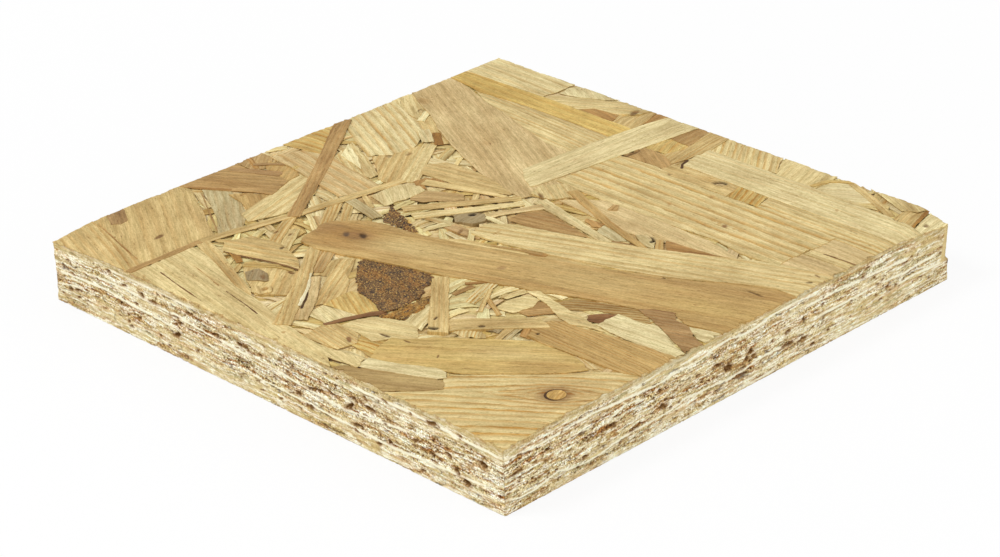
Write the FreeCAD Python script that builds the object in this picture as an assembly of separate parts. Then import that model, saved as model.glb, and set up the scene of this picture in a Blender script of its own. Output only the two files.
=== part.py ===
"""Square offcut of oriented strand board: one pressed slab, sawn edges, worn and torn corners.

The board lies flat. The origin is the centre of its underside, +Z points up through the
thickness, and X and Y run along the sawn edges. All sizes are in millimetres.
"""

import FreeCAD
import Part
import os

# The slab
LENGTH = 160.0  # along X
WIDTH = 160.0  # along Y
THICKNESS = 18.0

# The worn corners, where the upper face slopes away to a lower corner point.
# Each has its reach along X, its reach along Y and its drop at the corner point.
WORN_END_REACH_X = 22.0  # at +X -Y
WORN_END_REACH_Y = 8.0
WORN_END_DROP = 2.2
WORN_SIDE_REACH_X = 14.0  # at -X +Y
WORN_SIDE_REACH_Y = 22.0
WORN_SIDE_DROP = 1.7
WORN_NEAR_REACH_X = 14.0  # at -X -Y
WORN_NEAR_REACH_Y = 18.0
WORN_NEAR_DROP = 0.9

# The torn corner, at +X -Y: a shallow sliver split off the front edge
SLIVER_TOP_RUN = 1.7  # how far it reaches along the front edge at the upper face
SLIVER_LOW_RUN = 3.6  # the same at its lower end, where it broke off square
SLIVER_TOP_BITE = 0.5  # how deep it cuts into the corner at the upper face
SLIVER_LOW_BITE = 1.2  # the same at its lower end
SLIVER_HEIGHT = 12.0  # how far down from the upper face it reaches
OVERRUN = 1.0  # how far a cutter stands out past the faces that it cuts


def board_slab():
    """The pressed and sawn sheet, centred on the origin in plan, with its underside at Z 0."""
    lowest_corner = FreeCAD.Vector(-LENGTH / 2, -WIDTH / 2, 0)
    return Part.makeBox(LENGTH, WIDTH, THICKNESS, lowest_corner)


def worn_corner(side_x, side_y, reach_x, reach_y, drop):
    """Everything above the slope that runs from the upper face down to one corner point.

    The slope is a triangle that is doubled in size about its middle, so that it stands out
    past the faces it meets, and is then carried straight up.
    """
    corner_x = side_x * LENGTH / 2
    corner_y = side_y * WIDTH / 2
    on_x_edge = FreeCAD.Vector(corner_x - side_x * reach_x, corner_y, THICKNESS)
    on_y_edge = FreeCAD.Vector(corner_x, corner_y - side_y * reach_y, THICKNESS)
    corner = FreeCAD.Vector(corner_x, corner_y, THICKNESS - drop)
    middle = (on_x_edge + on_y_edge + corner) / 3
    points = [middle + (point - middle) * 2 for point in (on_x_edge, on_y_edge, corner)]
    slope = Part.Face(Part.makePolygon(points + [points[0]]))
    return slope.extrude(FreeCAD.Vector(0, 0, 2 * drop + OVERRUN))


def sliver_section(height, run, bite):
    """Three-cornered outline of the torn sliver at one height, standing out past both faces.

    Its long side crosses the front face at run from the corner, and the end face at bite from it.
    """
    corner_x = LENGTH / 2
    corner_y = -WIDTH / 2
    slope = bite / run
    inner_x = corner_x - run - OVERRUN / slope
    outer_x = corner_x + OVERRUN
    points = [
        FreeCAD.Vector(inner_x, corner_y - OVERRUN, height),
        FreeCAD.Vector(outer_x, corner_y - OVERRUN, height),
        FreeCAD.Vector(outer_x, corner_y + bite + OVERRUN * slope, height),
    ]
    return Part.makePolygon(points + [points[0]])


def torn_sliver():
    """The piece missing from the corner, which widens downwards and runs out past the upper face."""
    low_height = THICKNESS - SLIVER_HEIGHT
    top_height = THICKNESS + OVERRUN
    reach = (top_height - low_height) / SLIVER_HEIGHT
    top_run = SLIVER_LOW_RUN + (SLIVER_TOP_RUN - SLIVER_LOW_RUN) * reach
    top_bite = SLIVER_LOW_BITE + (SLIVER_TOP_BITE - SLIVER_LOW_BITE) * reach
    low = sliver_section(low_height, SLIVER_LOW_RUN, SLIVER_LOW_BITE)
    top = sliver_section(top_height, top_run, top_bite)
    return Part.makeLoft([low, top], True, True)


def osb_board():
    """The finished offcut."""
    board = board_slab()
    board = board.cut(worn_corner(1, -1, WORN_END_REACH_X, WORN_END_REACH_Y, WORN_END_DROP))
    board = board.cut(worn_corner(-1, 1, WORN_SIDE_REACH_X, WORN_SIDE_REACH_Y, WORN_SIDE_DROP))
    board = board.cut(worn_corner(-1, -1, WORN_NEAR_REACH_X, WORN_NEAR_REACH_Y, WORN_NEAR_DROP))
    return board.cut(torn_sliver())


os.makedirs("parts", exist_ok=True)
osb_board().exportStep("parts/osb_board.step")
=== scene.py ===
import math
import bpy
import numpy as np
from mathutils import Matrix, Vector
from mathutils.geometry import delaunay_2d_cdt, tessellate_polygon

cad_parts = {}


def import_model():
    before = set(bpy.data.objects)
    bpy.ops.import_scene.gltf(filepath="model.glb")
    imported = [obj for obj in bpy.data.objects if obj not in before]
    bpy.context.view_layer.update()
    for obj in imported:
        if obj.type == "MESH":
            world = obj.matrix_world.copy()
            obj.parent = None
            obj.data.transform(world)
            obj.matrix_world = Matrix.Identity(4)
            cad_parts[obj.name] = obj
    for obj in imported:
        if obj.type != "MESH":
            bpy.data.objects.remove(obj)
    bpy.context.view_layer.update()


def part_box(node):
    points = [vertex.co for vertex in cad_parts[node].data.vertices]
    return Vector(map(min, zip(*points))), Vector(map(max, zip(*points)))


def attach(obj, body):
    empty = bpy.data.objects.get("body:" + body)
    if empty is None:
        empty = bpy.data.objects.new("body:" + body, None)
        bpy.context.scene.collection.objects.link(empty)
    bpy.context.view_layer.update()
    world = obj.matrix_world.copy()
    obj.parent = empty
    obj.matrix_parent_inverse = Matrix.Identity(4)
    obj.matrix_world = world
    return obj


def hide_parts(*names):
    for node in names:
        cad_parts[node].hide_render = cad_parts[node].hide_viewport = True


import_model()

MM = 0.001
low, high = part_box("osb_board")
HALF = high.x / MM  # half of the board's side
THICK = high.z / MM
CELL = 0.5  # grid of the height fields
REACH = HALF + 2.0  # the fields reach this far from the middle
CELLS = int(round(2 * REACH / CELL)) + 1
draw = np.random.default_rng(20)

# Colours as they look under the studio light, in sRGB out of 255
TONES = {
    "cream": (217, 200, 147), "white": (226, 214, 172), "pale": (211, 189, 131), "bright": (215, 196, 141),
    "tan": (203, 176, 116), "gold": (203, 174, 105), "amber": (203, 172, 96), "orange": (195, 157, 89),
    "pink": (203, 177, 123), "rose": (186, 155, 101), "brown": (189, 156, 95), "umber": (176, 141, 86),
    "nut": (175, 135, 77), "mauve": (162, 128, 80), "rust": (160, 116, 54), "sliver": (132, 93, 54),
    "bark": (128, 94, 56), "grey": (190, 173, 125), "slate": (158, 138, 98), "drab": (173, 145, 91),
    "shade": (118, 82, 42), "dark": (80, 52, 24), "black": (36, 20, 8), "char": (92, 72, 52),
    "ink": (60, 50, 48),
}


def linear(rgb):
    """sRGB out of 255 to linear light."""
    c = np.asarray(rgb, float) / 255
    return np.where(c <= 0.04045, c / 12.92, ((c + 0.055) / 1.055) ** 2.4)


def blend(tone, colour, share):
    """A linear tone taken towards a colour of the tables, by a share at each point."""
    share = share[..., None]
    return tone * (1 - share) + linear(colour) * share


# ---------------------------------------------------------------- noise and fields

LATTICES = {}


def noise(x, y, seed):
    """Smooth value noise from 0 to 1, one lattice cell to the unit."""
    if seed not in LATTICES:
        LATTICES[seed] = np.random.default_rng(1000 + seed).random((97, 97))
    lattice = LATTICES[seed]
    x, y = np.broadcast_arrays(np.asarray(x, float), np.asarray(y, float))
    xi, yi = np.floor(x).astype(int), np.floor(y).astype(int)
    fx, fy = x - xi, y - yi
    fx, fy = fx * fx * (3 - 2 * fx), fy * fy * (3 - 2 * fy)
    x0, x1, y0, y1 = xi % 97, (xi + 1) % 97, yi % 97, (yi + 1) % 97
    near = lattice[x0, y0] * (1 - fx) + lattice[x1, y0] * fx
    far = lattice[x0, y1] * (1 - fx) + lattice[x1, y1] * fx
    return near * (1 - fy) + far * fy


def fbm(x, y, seed, octaves=3):
    """Layered noise, still from 0 to 1."""
    total, weight, scale = 0.0, 0.0, 1.0
    for k in range(octaves):
        total = total + noise(x * scale, y * scale, seed + 7 * k) / scale
        weight += 1 / scale
        scale *= 2
    return total / weight


def smooth(a, b, x):
    """0 at a, 1 at b, and a soft step between."""
    t = np.clip((x - a) / (b - a), 0, 1)
    return t * t * (3 - 2 * t)


def inside(points, poly):
    """Which points lie in a polygon."""
    x, y = points[:, 0][:, None], points[:, 1][:, None]
    p, q = poly, np.roll(poly, -1, 0)
    crosses = (p[:, 1] > y) != (q[:, 1] > y)
    slope = (q[:, 0] - p[:, 0]) / np.where(q[:, 1] == p[:, 1], 1e-9, q[:, 1] - p[:, 1])
    return (crosses & (x < p[:, 0] + slope * (y - p[:, 1]))).sum(1) % 2 == 1


def turned(x, y, cx, cy, angle):
    """Coordinates along and across a direction, from a centre."""
    along = (x - cx) * math.cos(angle) + (y - cy) * math.sin(angle)
    across = -(x - cx) * math.sin(angle) + (y - cy) * math.cos(angle)
    return along, across


def ellipse(x, y, cx, cy, a, b, turn):
    """Distance from the centre of a turned ellipse, 1 on its rim."""
    u, v = turned(x, y, cx, cy, math.radians(turn))
    return np.sqrt((u / a) ** 2 + (v / b) ** 2)


def blur(a, reach):
    """Weighted mean over a few cells each way."""
    k = np.exp(-0.5 * (np.arange(-2 * reach, 2 * reach + 1) / reach) ** 2)
    k /= k.sum()
    for axis in (0, 1):
        pad = [(0, 0), (0, 0)]
        pad[axis] = (2 * reach, 2 * reach)
        wide = np.pad(a, pad, mode="edge")
        n = a.shape[axis]
        a = sum(w * np.take(wide, np.arange(i, i + n), axis) for i, w in enumerate(k))
    return a


def erode(a, reach):
    """Lowest value over a few cells each way."""
    for axis in (0, 1):
        pad = [(0, 0), (0, 0)]
        pad[axis] = (reach, reach)
        wide = np.pad(a, pad, mode="edge")
        n = a.shape[axis]
        a = np.min([np.take(wide, np.arange(i, i + n), axis) for i in range(2 * reach + 1)], 0)
    return a


# Worn corners: the corner's place, its reach along X and Y, and its drop
WORN = [
    (HALF, -HALF, 22.0, 8.0, 2.25),
    (-HALF, HALF, 14.0, 22.0, 1.40),
    (-HALF, -HALF, 14.0, 18.0, 0.95),
]


def face_drop(x, y, worn, seed):
    """How far the pressed face lies below its plane."""
    drop = 0.02 + 0.08 * fbm(x / 24, y / 24, seed)
    for cx, cy, rx, ry, depth in worn:
        away = np.abs(x - cx) / rx + np.abs(y - cy) / ry
        drop = drop + depth * np.clip(1 - away, 0, 1) ** 1.1
    rim = HALF - np.maximum(np.abs(x), np.abs(y))
    return drop + 0.18 * np.clip(1 - rim / 0.9, 0, 1) ** 2


axis_mm = -REACH + CELL * np.arange(CELLS)
GX, GY = np.meshgrid(axis_mm, axis_mm, indexing="ij")


def sample(field, x, y):
    """Field value between its cells."""
    u = np.clip((x + REACH) / CELL, 0, CELLS - 1.001)
    v = np.clip((y + REACH) / CELL, 0, CELLS - 1.001)
    i, j = u.astype(int), v.astype(int)
    u, v = u - i, v - j
    return ((field[i, j] * (1 - u) + field[i + 1, j] * u) * (1 - v)
            + (field[i, j + 1] * (1 - u) + field[i + 1, j + 1] * u) * v)


# ---------------------------------------------------------------- strands

# The torn corner at +X -Y: how far it runs along the front edge and bites into the corner
TORN_HEIGHT = 12.0  # how far down from the upper face it reaches
TORN_TOP_RUN = 1.7
TORN_LOW_RUN = 3.6
TORN_TOP_BITE = 0.5
TORN_LOW_BITE = 1.2

# The board's outline seen from above, with the torn corner cut off
OUTLINE = [(-HALF, -HALF), (HALF - TORN_TOP_RUN, -HALF), (HALF, -HALF + TORN_TOP_BITE),
           (HALF, HALF), (-HALF, HALF)]


def clip(poly, inset):
    """The part of a polygon that lies on the board, kept back from its edge by inset."""
    k = (HALF - inset) / HALF
    edge = [(x * k, y * k) for x, y in OUTLINE]
    for (ax, ay), (bx, by) in zip(edge, edge[1:] + edge[:1]):
        out = []
        for (px, py), (qx, qy) in zip(poly, poly[1:] + poly[:1]):
            dp = (bx - ax) * (py - ay) - (by - ay) * (px - ax)
            dq = (bx - ax) * (qy - ay) - (by - ay) * (qx - ax)
            if dp >= 0:
                out.append((px, py))
            if (dp >= 0) != (dq >= 0):
                t = dp / (dp - dq)
                out.append((px + (qx - px) * t, py + (qy - py) * t))
        poly = out
        if len(poly) < 3:
            return []
    return poly


def strip(path, w0, w1=None, skew=0.0):
    """Outline of a narrow strand along a path of points, with its width at each end."""
    w1 = w0 if w1 is None else w1
    path = [np.array(p, float) for p in path]
    left, right = [], []
    for i, p in enumerate(path):
        a, b = path[max(i - 1, 0)], path[min(i + 1, len(path) - 1)]
        d = (b - a) / np.linalg.norm(b - a)
        w = w0 + (w1 - w0) * i / (len(path) - 1)
        n = np.array((-d[1], d[0])) * w / 2
        lean = d * skew * (1 if i == 0 else -1 if i == len(path) - 1 else 0)
        left.append(tuple(p + n + lean))
        right.append(tuple(p - n - lean))
    return left + right[::-1]


def roughen(poly, angle, splinter, fine, crumbling=False):
    """Outline with fibres pulled out at its cut ends and a slight waver along its sides."""
    grain = np.array((math.cos(angle), math.sin(angle)))
    out = []
    n = len(poly)
    for i in range(n):
        p, q = np.array(poly[i]), np.array(poly[(i + 1) % n])
        length = np.linalg.norm(q - p)
        if length < 1e-6:
            continue
        d = (q - p) / length
        normal = np.array((d[1], -d[0]))
        along = abs(d @ grain)
        steps = max(1, int(length / fine))
        on_rim = max(abs((p + q) / 2)) > HALF - 0.7 and min(abs(d)) < 0.02
        for s in range(steps):
            c = p + d * (length * s / steps)
            if s:
                if on_rim:
                    worn_away = max(0.0, noise(c[0] / 4.0, c[1] / 4.0, 6) - 0.35)
                    tooth = noise(c[0] / 0.7, c[1] / 0.7, 7) * draw.random()
                    c = c - normal * (0.02 + worn_away * (0.4 + 1.6 * tooth) + 0.40 * tooth)
                elif crumbling:
                    lumps = 1.5 * (noise(c[0] / 1.6, c[1] / 1.6, 5) - 0.5)
                    c = c + normal * (lumps + 0.5 * (draw.random() - 0.5))
                elif along > 0.8:
                    c = c + normal * 0.16 * (noise(c[0] / 1.7, c[1] / 1.7, 3) - 0.5) * 2
                else:
                    side_step = c @ np.array((-grain[1], grain[0]))
                    tooth = 0.9 * (noise(side_step / 1.3, c @ grain / 9, 4) - 0.5)
                    c = c + grain * splinter * (tooth + 2.2 * (draw.random() - 0.5) ** 3)
            out.append(c)
    out = np.array(out)
    lead = np.linalg.norm(out - np.roll(out, 1, 0), axis=1) > 0.05
    return np.clip(out[lead], -HALF + 0.04, HALF - 0.04)


class Group:
    """Mesh arrays of one piece while it grows."""

    def __init__(self, name, material, slot):
        self.name, self.material, self.slot = name, material, slot
        self.co, self.tri, self.uv, self.charts = [], [], [], []
        self.grain, self.tone, self.figure = [], [], []
        self.count = 0

    def add(self, co, tri, grain, tone, figure, uv, chart):
        self.co.append(co)
        self.tri.append(np.asarray(tri) + self.count)
        self.grain.append(grain)
        self.tone.append(tone)
        self.figure.append(figure)
        self.uv.append(uv)
        self.charts.append(chart)
        self.count += len(co)


class Face:
    """One broad face of the board while strands are laid on it, the outermost first."""

    def __init__(self, worn, seed, upward):
        self.ceiling = THICK - face_drop(GX, GY, worn, seed)
        self.seen = np.full(GX.shape, -1.0)
        self.upward = upward
        self.used = set()

    def height(self, poly, under, stiff):
        """Height field under everything laid so far, within the strand's box."""
        i0 = max(int((poly[:, 0].min() + REACH) / CELL) - 6, 0)
        i1 = min(int((poly[:, 0].max() + REACH) / CELL) + 8, CELLS)
        j0 = max(int((poly[:, 1].min() + REACH) / CELL) - 6, 0)
        j1 = min(int((poly[:, 1].max() + REACH) / CELL) + 8, CELLS)
        box = (slice(i0, i1), slice(j0, j1))
        top = self.ceiling[box]
        bent = blur(erode(top, stiff), stiff)
        return box, np.minimum(bent, top) - under

    def press(self, box, field, outline, thick, marks):
        """Lowers what is left for the strands underneath, by the strand just laid."""
        cells = np.c_[GX[box].ravel(), GY[box].ravel()]
        covers = inside(cells, outline).reshape(field.shape)
        seen, rest = self.seen[box], self.ceiling[box]
        first = covers & (seen < 0)
        seen[first] = field[first]
        rest[covers] = np.minimum(rest[covers], field[covers] - thick * 0.8)
        for mx, my, a, b, turn, _, _, depth, _ in marks:
            if depth > 0.12:
                pit = ellipse(GX[box], GY[box], mx, my, 1.3 * a + 0.3, 1.3 * b + 0.3, turn) < 1
                rest[pit] = np.minimum(rest[pit], field[pit] - depth - 0.15)


def ring_number(u, v, x, y, spacing, angle, seed, knots):
    """Growth-ring coordinate: lines along the grain that waver, and part round knots."""
    slow, quick = fbm(u / 45, v / 30, seed % 40, 2), fbm(u / 11, v / 5, seed % 40 + 9, 2)
    v = v + 2.2 * (slow - 0.5) + 0.5 * (quick - 0.5)
    for kx, ky, r in knots:
        ku, kv = turned(x, y, kx, ky, angle)
        far = np.maximum((ku / 1.7) ** 2 + kv**2, (0.55 * r) ** 2)
        v = v - np.sign(kv) * (r * r / np.sqrt(far)) * np.exp(-far / (5 * r) ** 2)
    return v / spacing


def marks_on(face, outline, area):
    """Marks that fall on a strand. The outermost strand that is large enough takes each one."""
    taken = []
    for k, mark in enumerate(MARKS):
        fits = k not in face.used and mark[2] * mark[3] < 0.4 * area
        if fits and inside(np.array([mark[:2]]), outline)[0]:
            face.used.add(k)
            taken.append(mark)
    return taken


def inner_points(ring, step, marks):
    """Points inside a strand's outline: a triangular grid, with a finer one at each mark."""
    gx, gy = np.meshgrid(np.arange(ring[:, 0].min(), ring[:, 0].max(), step),
                         np.arange(ring[:, 1].min(), ring[:, 1].max(), step * 0.87))
    gx = gx + (np.arange(gx.shape[0]) % 2)[:, None] * step / 2
    wide, fine = np.c_[gx.ravel(), gy.ravel()], []
    for mx, my, a, b, turn, *_ in marks:
        pitch = max(0.22, min(a, b) / 3.5)
        span = np.arange(-1.5, 1.5001, 1 / max(2, round(a / pitch)))
        rise = np.arange(-1.6, 1.6001, 1 / max(2, round(b / pitch)))
        mu, mv = [g.ravel() for g in np.meshgrid(span * a, rise * b)]
        keep = (mu / a) ** 2 + (mv / b) ** 2 < 2.4
        mu, mv = mu[keep], mv[keep]
        t = math.radians(turn)
        fine.append(np.c_[mx + mu * math.cos(t) - mv * math.sin(t),
                          my + mu * math.sin(t) + mv * math.cos(t)])
        hu, hv = turned(wide[:, 0], wide[:, 1], mx, my, t)
        wide = wide[(hu / a) ** 2 + (hv / b) ** 2 > 2.6]
    points = np.concatenate([wide] + fine)
    points = points[inside(points, ring)]
    if len(points):
        gap = np.sqrt(((points[:, None, :] - ring[None]) ** 2).sum(2)).min(1)
        points = points[gap > min(0.3 * step, 0.2)]
    return points


def triangulate(ring, inner):
    """Points and triangles of a strand's top, all wound the same way."""
    points = [Vector(p) for p in np.concatenate([ring, inner])]
    out = delaunay_2d_cdt(points, [], [list(range(len(ring)))], 1, 1e-4)
    xy = np.array([tuple(p) for p in out[0]])
    tri = np.array([f for f in out[2] if len(f) == 3])
    if len(tri) > 1:
        over = np.cross(xy[tri[:, 1]] - xy[tri[:, 0]], xy[tri[:, 2]] - xy[tri[:, 0]]) < 0
        tri[over] = tri[over][:, ::-1]
    return xy, tri


def boundary(tri):
    """Edges with no triangle on their other side."""
    edges = dict.fromkeys(e for a, b, c in tri for e in ((a, b), (b, c), (c, a)))
    return [(a, b) for a, b in edges if (b, a) not in edges]


def chain(wall):
    """Boundary edges put in walking order."""
    follow = dict(wall)
    start = wall[0][0]
    out = [start]
    while follow[out[-1]] != start and len(out) <= len(wall):
        out.append(follow[out[-1]])
    return out


def strand_colour(tone, u, v, x, y, seed, size, jitter):
    """The strand's tone, shifted a little at random and mottled along the grain."""
    colour = np.tile(linear(TONES[tone]), (len(x), 1))
    if jitter:
        hue = jitter * (draw.random(3) - 0.5) * np.array((0.6, 0.9, 1.3))
        colour = colour * (1 + hue + jitter * (draw.random() - 0.5))
    lively = 0.22 + 0.65 * math.exp(-size / 9)
    mottle = lively * (noise(u / 9, v, seed % 50) + 0.8 * noise(u / 18, v / 3, seed % 47) - 0.9)
    mottle = mottle + 0.30 * (fbm(x / 6, y / 6, 31) - 0.5)
    return colour * (1 + mottle[:, None] * np.array((0.8, 1.0, 1.25)))


def paint_marks(marks, x, y, z, colour):
    """Stains the strand and hollows it where its marks lie; the marks for holes and shadow lines paint
    shade instead of a stain.
    """
    for mx, my, a, b, turn, stain_and_shade, strength, depth, soft in marks:
        mu, mv = turned(x, y, mx, my, math.radians(turn))
        away = np.sqrt((mu / a) ** 2 + (mv / b) ** 2) + 0.25 * (noise(mu / 0.8 + 9, mv / 0.5, 5) - 0.5)
        colour = blend(colour, TONES[stain_and_shade], (1 - smooth(1 - soft, 1 + soft, away)) * strength)
        z = z - depth * (1 - smooth(0.55, 1.1, away))
    return z, colour


def close_solid(xy, z, tri, wall, rim, base):
    """Closes a strand's top with walls and an underside, whose points are apart from the top's.

    It also returns the top point that each point lies at or under.
    """
    m, total = len(rim), len(xy)
    place = {a: i for i, a in enumerate(rim)}
    up = np.c_[xy, z]
    rim_low = np.c_[up[rim][:, :2], base]
    co = np.concatenate([up, up[rim], rim_low, rim_low])
    walls = []
    for a, b in wall:
        i, j = total + place[a], total + place[b]
        walls += [(j, i, i + m), (j, i + m, j + m)]
    order = chain(wall)
    loop = [Vector((xy[a][0], xy[a][1], 0)) for a in order]
    sheets = [tri, np.array(walls)]
    under = np.array([[total + 2 * m + place[order[i]] for i in f] for f in tessellate_polygon([loop])])
    if len(under):
        p = co[under]
        flip = np.cross(p[:, 1, :2] - p[:, 0, :2], p[:, 2, :2] - p[:, 0, :2]) > 0
        under[flip] = under[flip][:, ::-1]
        sheets.append(under)
    return co, np.concatenate(sheets), np.concatenate([np.arange(total), rim, rim, rim]).astype(int)


def bake_chart(u, v, rim):
    """A strand's own chart: its top in grain axes, its walls as a skirt, its underside left to pack()."""
    chart = np.c_[u, v]
    outward = chart[rim] - chart[rim].mean(0)
    outward = outward / np.maximum(np.linalg.norm(outward, axis=1), 1e-6)[:, None]
    return np.concatenate([chart, chart[rim] + outward * 0.05, chart[rim] + outward * 0.4,
                           np.full((len(rim), 2), np.nan)])


def lay(face, group, tone, outline, angle=None, rings=(3.0, 0.12), thick=0.32, splinter=0.7, under=0.02,
        ridge=0.0, mesh=1.3, jitter=0.0, stiff=2, fibre=1.0):
    """Lays one strand under those already on the face, and adds its closed mesh to the group."""
    outline = [tuple(map(float, p)) for p in outline]
    edges = list(zip(outline, outline[1:] + outline[:1]))
    if angle is None:
        (ax, ay), (bx, by) = max(edges, key=lambda e: math.dist(*e))
        angle = math.degrees(math.atan2(by - ay, bx - ax))
    angle = math.radians(angle)
    if thick > 0.05:
        thick *= 0.3 + 0.25 * draw.random()
    if sum(x0 * y1 - x1 * y0 for (x0, y0), (x1, y1) in edges) < 0:
        outline = outline[::-1]
    outline = clip(outline, 0.05 + 0.25 * draw.random())
    if len(outline) < 3:
        return
    coarse = np.array(outline)
    onward = np.roll(coarse, -1, 0)
    area = 0.5 * abs(np.sum(coarse[:, 0] * onward[:, 1] - coarse[:, 1] * onward[:, 0]))
    if area < 0.35:
        return
    size = math.sqrt(area)
    ring = roughen(outline, angle, splinter, min(0.75, max(0.25, size / 9)), group is bark_group)
    if len(ring) < 4:
        return
    marks = marks_on(face, coarse, area) if face.upward else []
    knots = [k for k in KNOTS if inside(np.array([k[:2]]), coarse)[0]] if face.upward else []
    xy, tri = triangulate(ring, inner_points(ring, min(mesh, max(0.45, size / 4)), marks))
    if len(tri) < 2:
        return
    box, field = face.height(coarse, under, stiff)
    whole = face.ceiling.copy()
    whole[box] = field
    x, y = xy[:, 0], xy[:, 1]
    z = sample(whole, x, y)
    seed = int(draw.integers(1, 9000))
    u, v = turned(x, y, 0, 0, angle)
    number = ring_number(u, v, x, y, rings[0], angle, seed, knots) + seed % 13
    if group is bark_group:
        z = z - 0.45 * fbm(x / 0.9, y / 0.9, 71)
    if ridge:
        saw = number - np.floor(number)
        z = z - ridge * (smooth(0.45, 0.85, saw) - smooth(0.86, 1.0, saw))
    wall = boundary(tri)
    rim = sorted({a for e in wall for a in e})
    z[rim] -= 0.02
    colour = strand_colour(tone, u, v, x, y, seed, size, jitter)
    z, colour = paint_marks(marks, x, y, z, colour)
    # the underside stays below the deepest of the strand's own hollows
    base = z[rim] - max([thick] + [mark[7] + 0.15 for mark in marks])
    co, tris, index = close_solid(xy, z, tri, wall, rim, base)
    total = len(xy)
    colour = colour[index]
    # the walls and underside are painted darker than the top: painted shade on the strands' sides
    colour[total:] *= np.array((0.92, 0.86, 0.76))
    contrast = np.full(len(co), float(rings[1]))
    contrast[total:] = 0
    figure = np.c_[number[index], contrast, np.full(len(co), fibre)]
    grain = np.c_[u[index], v[index], np.full(len(co), seed * 0.37)]
    if not face.upward:
        co = co * np.array((1, 1, -1)) + np.array((0, 0, THICK))
        tris = tris[:, ::-1]
    group.add(co, tris, grain, colour, figure, bake_chart(u, v, rim), (total, len(rim)))
    face.press(box, field, coarse, thick, marks)
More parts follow.
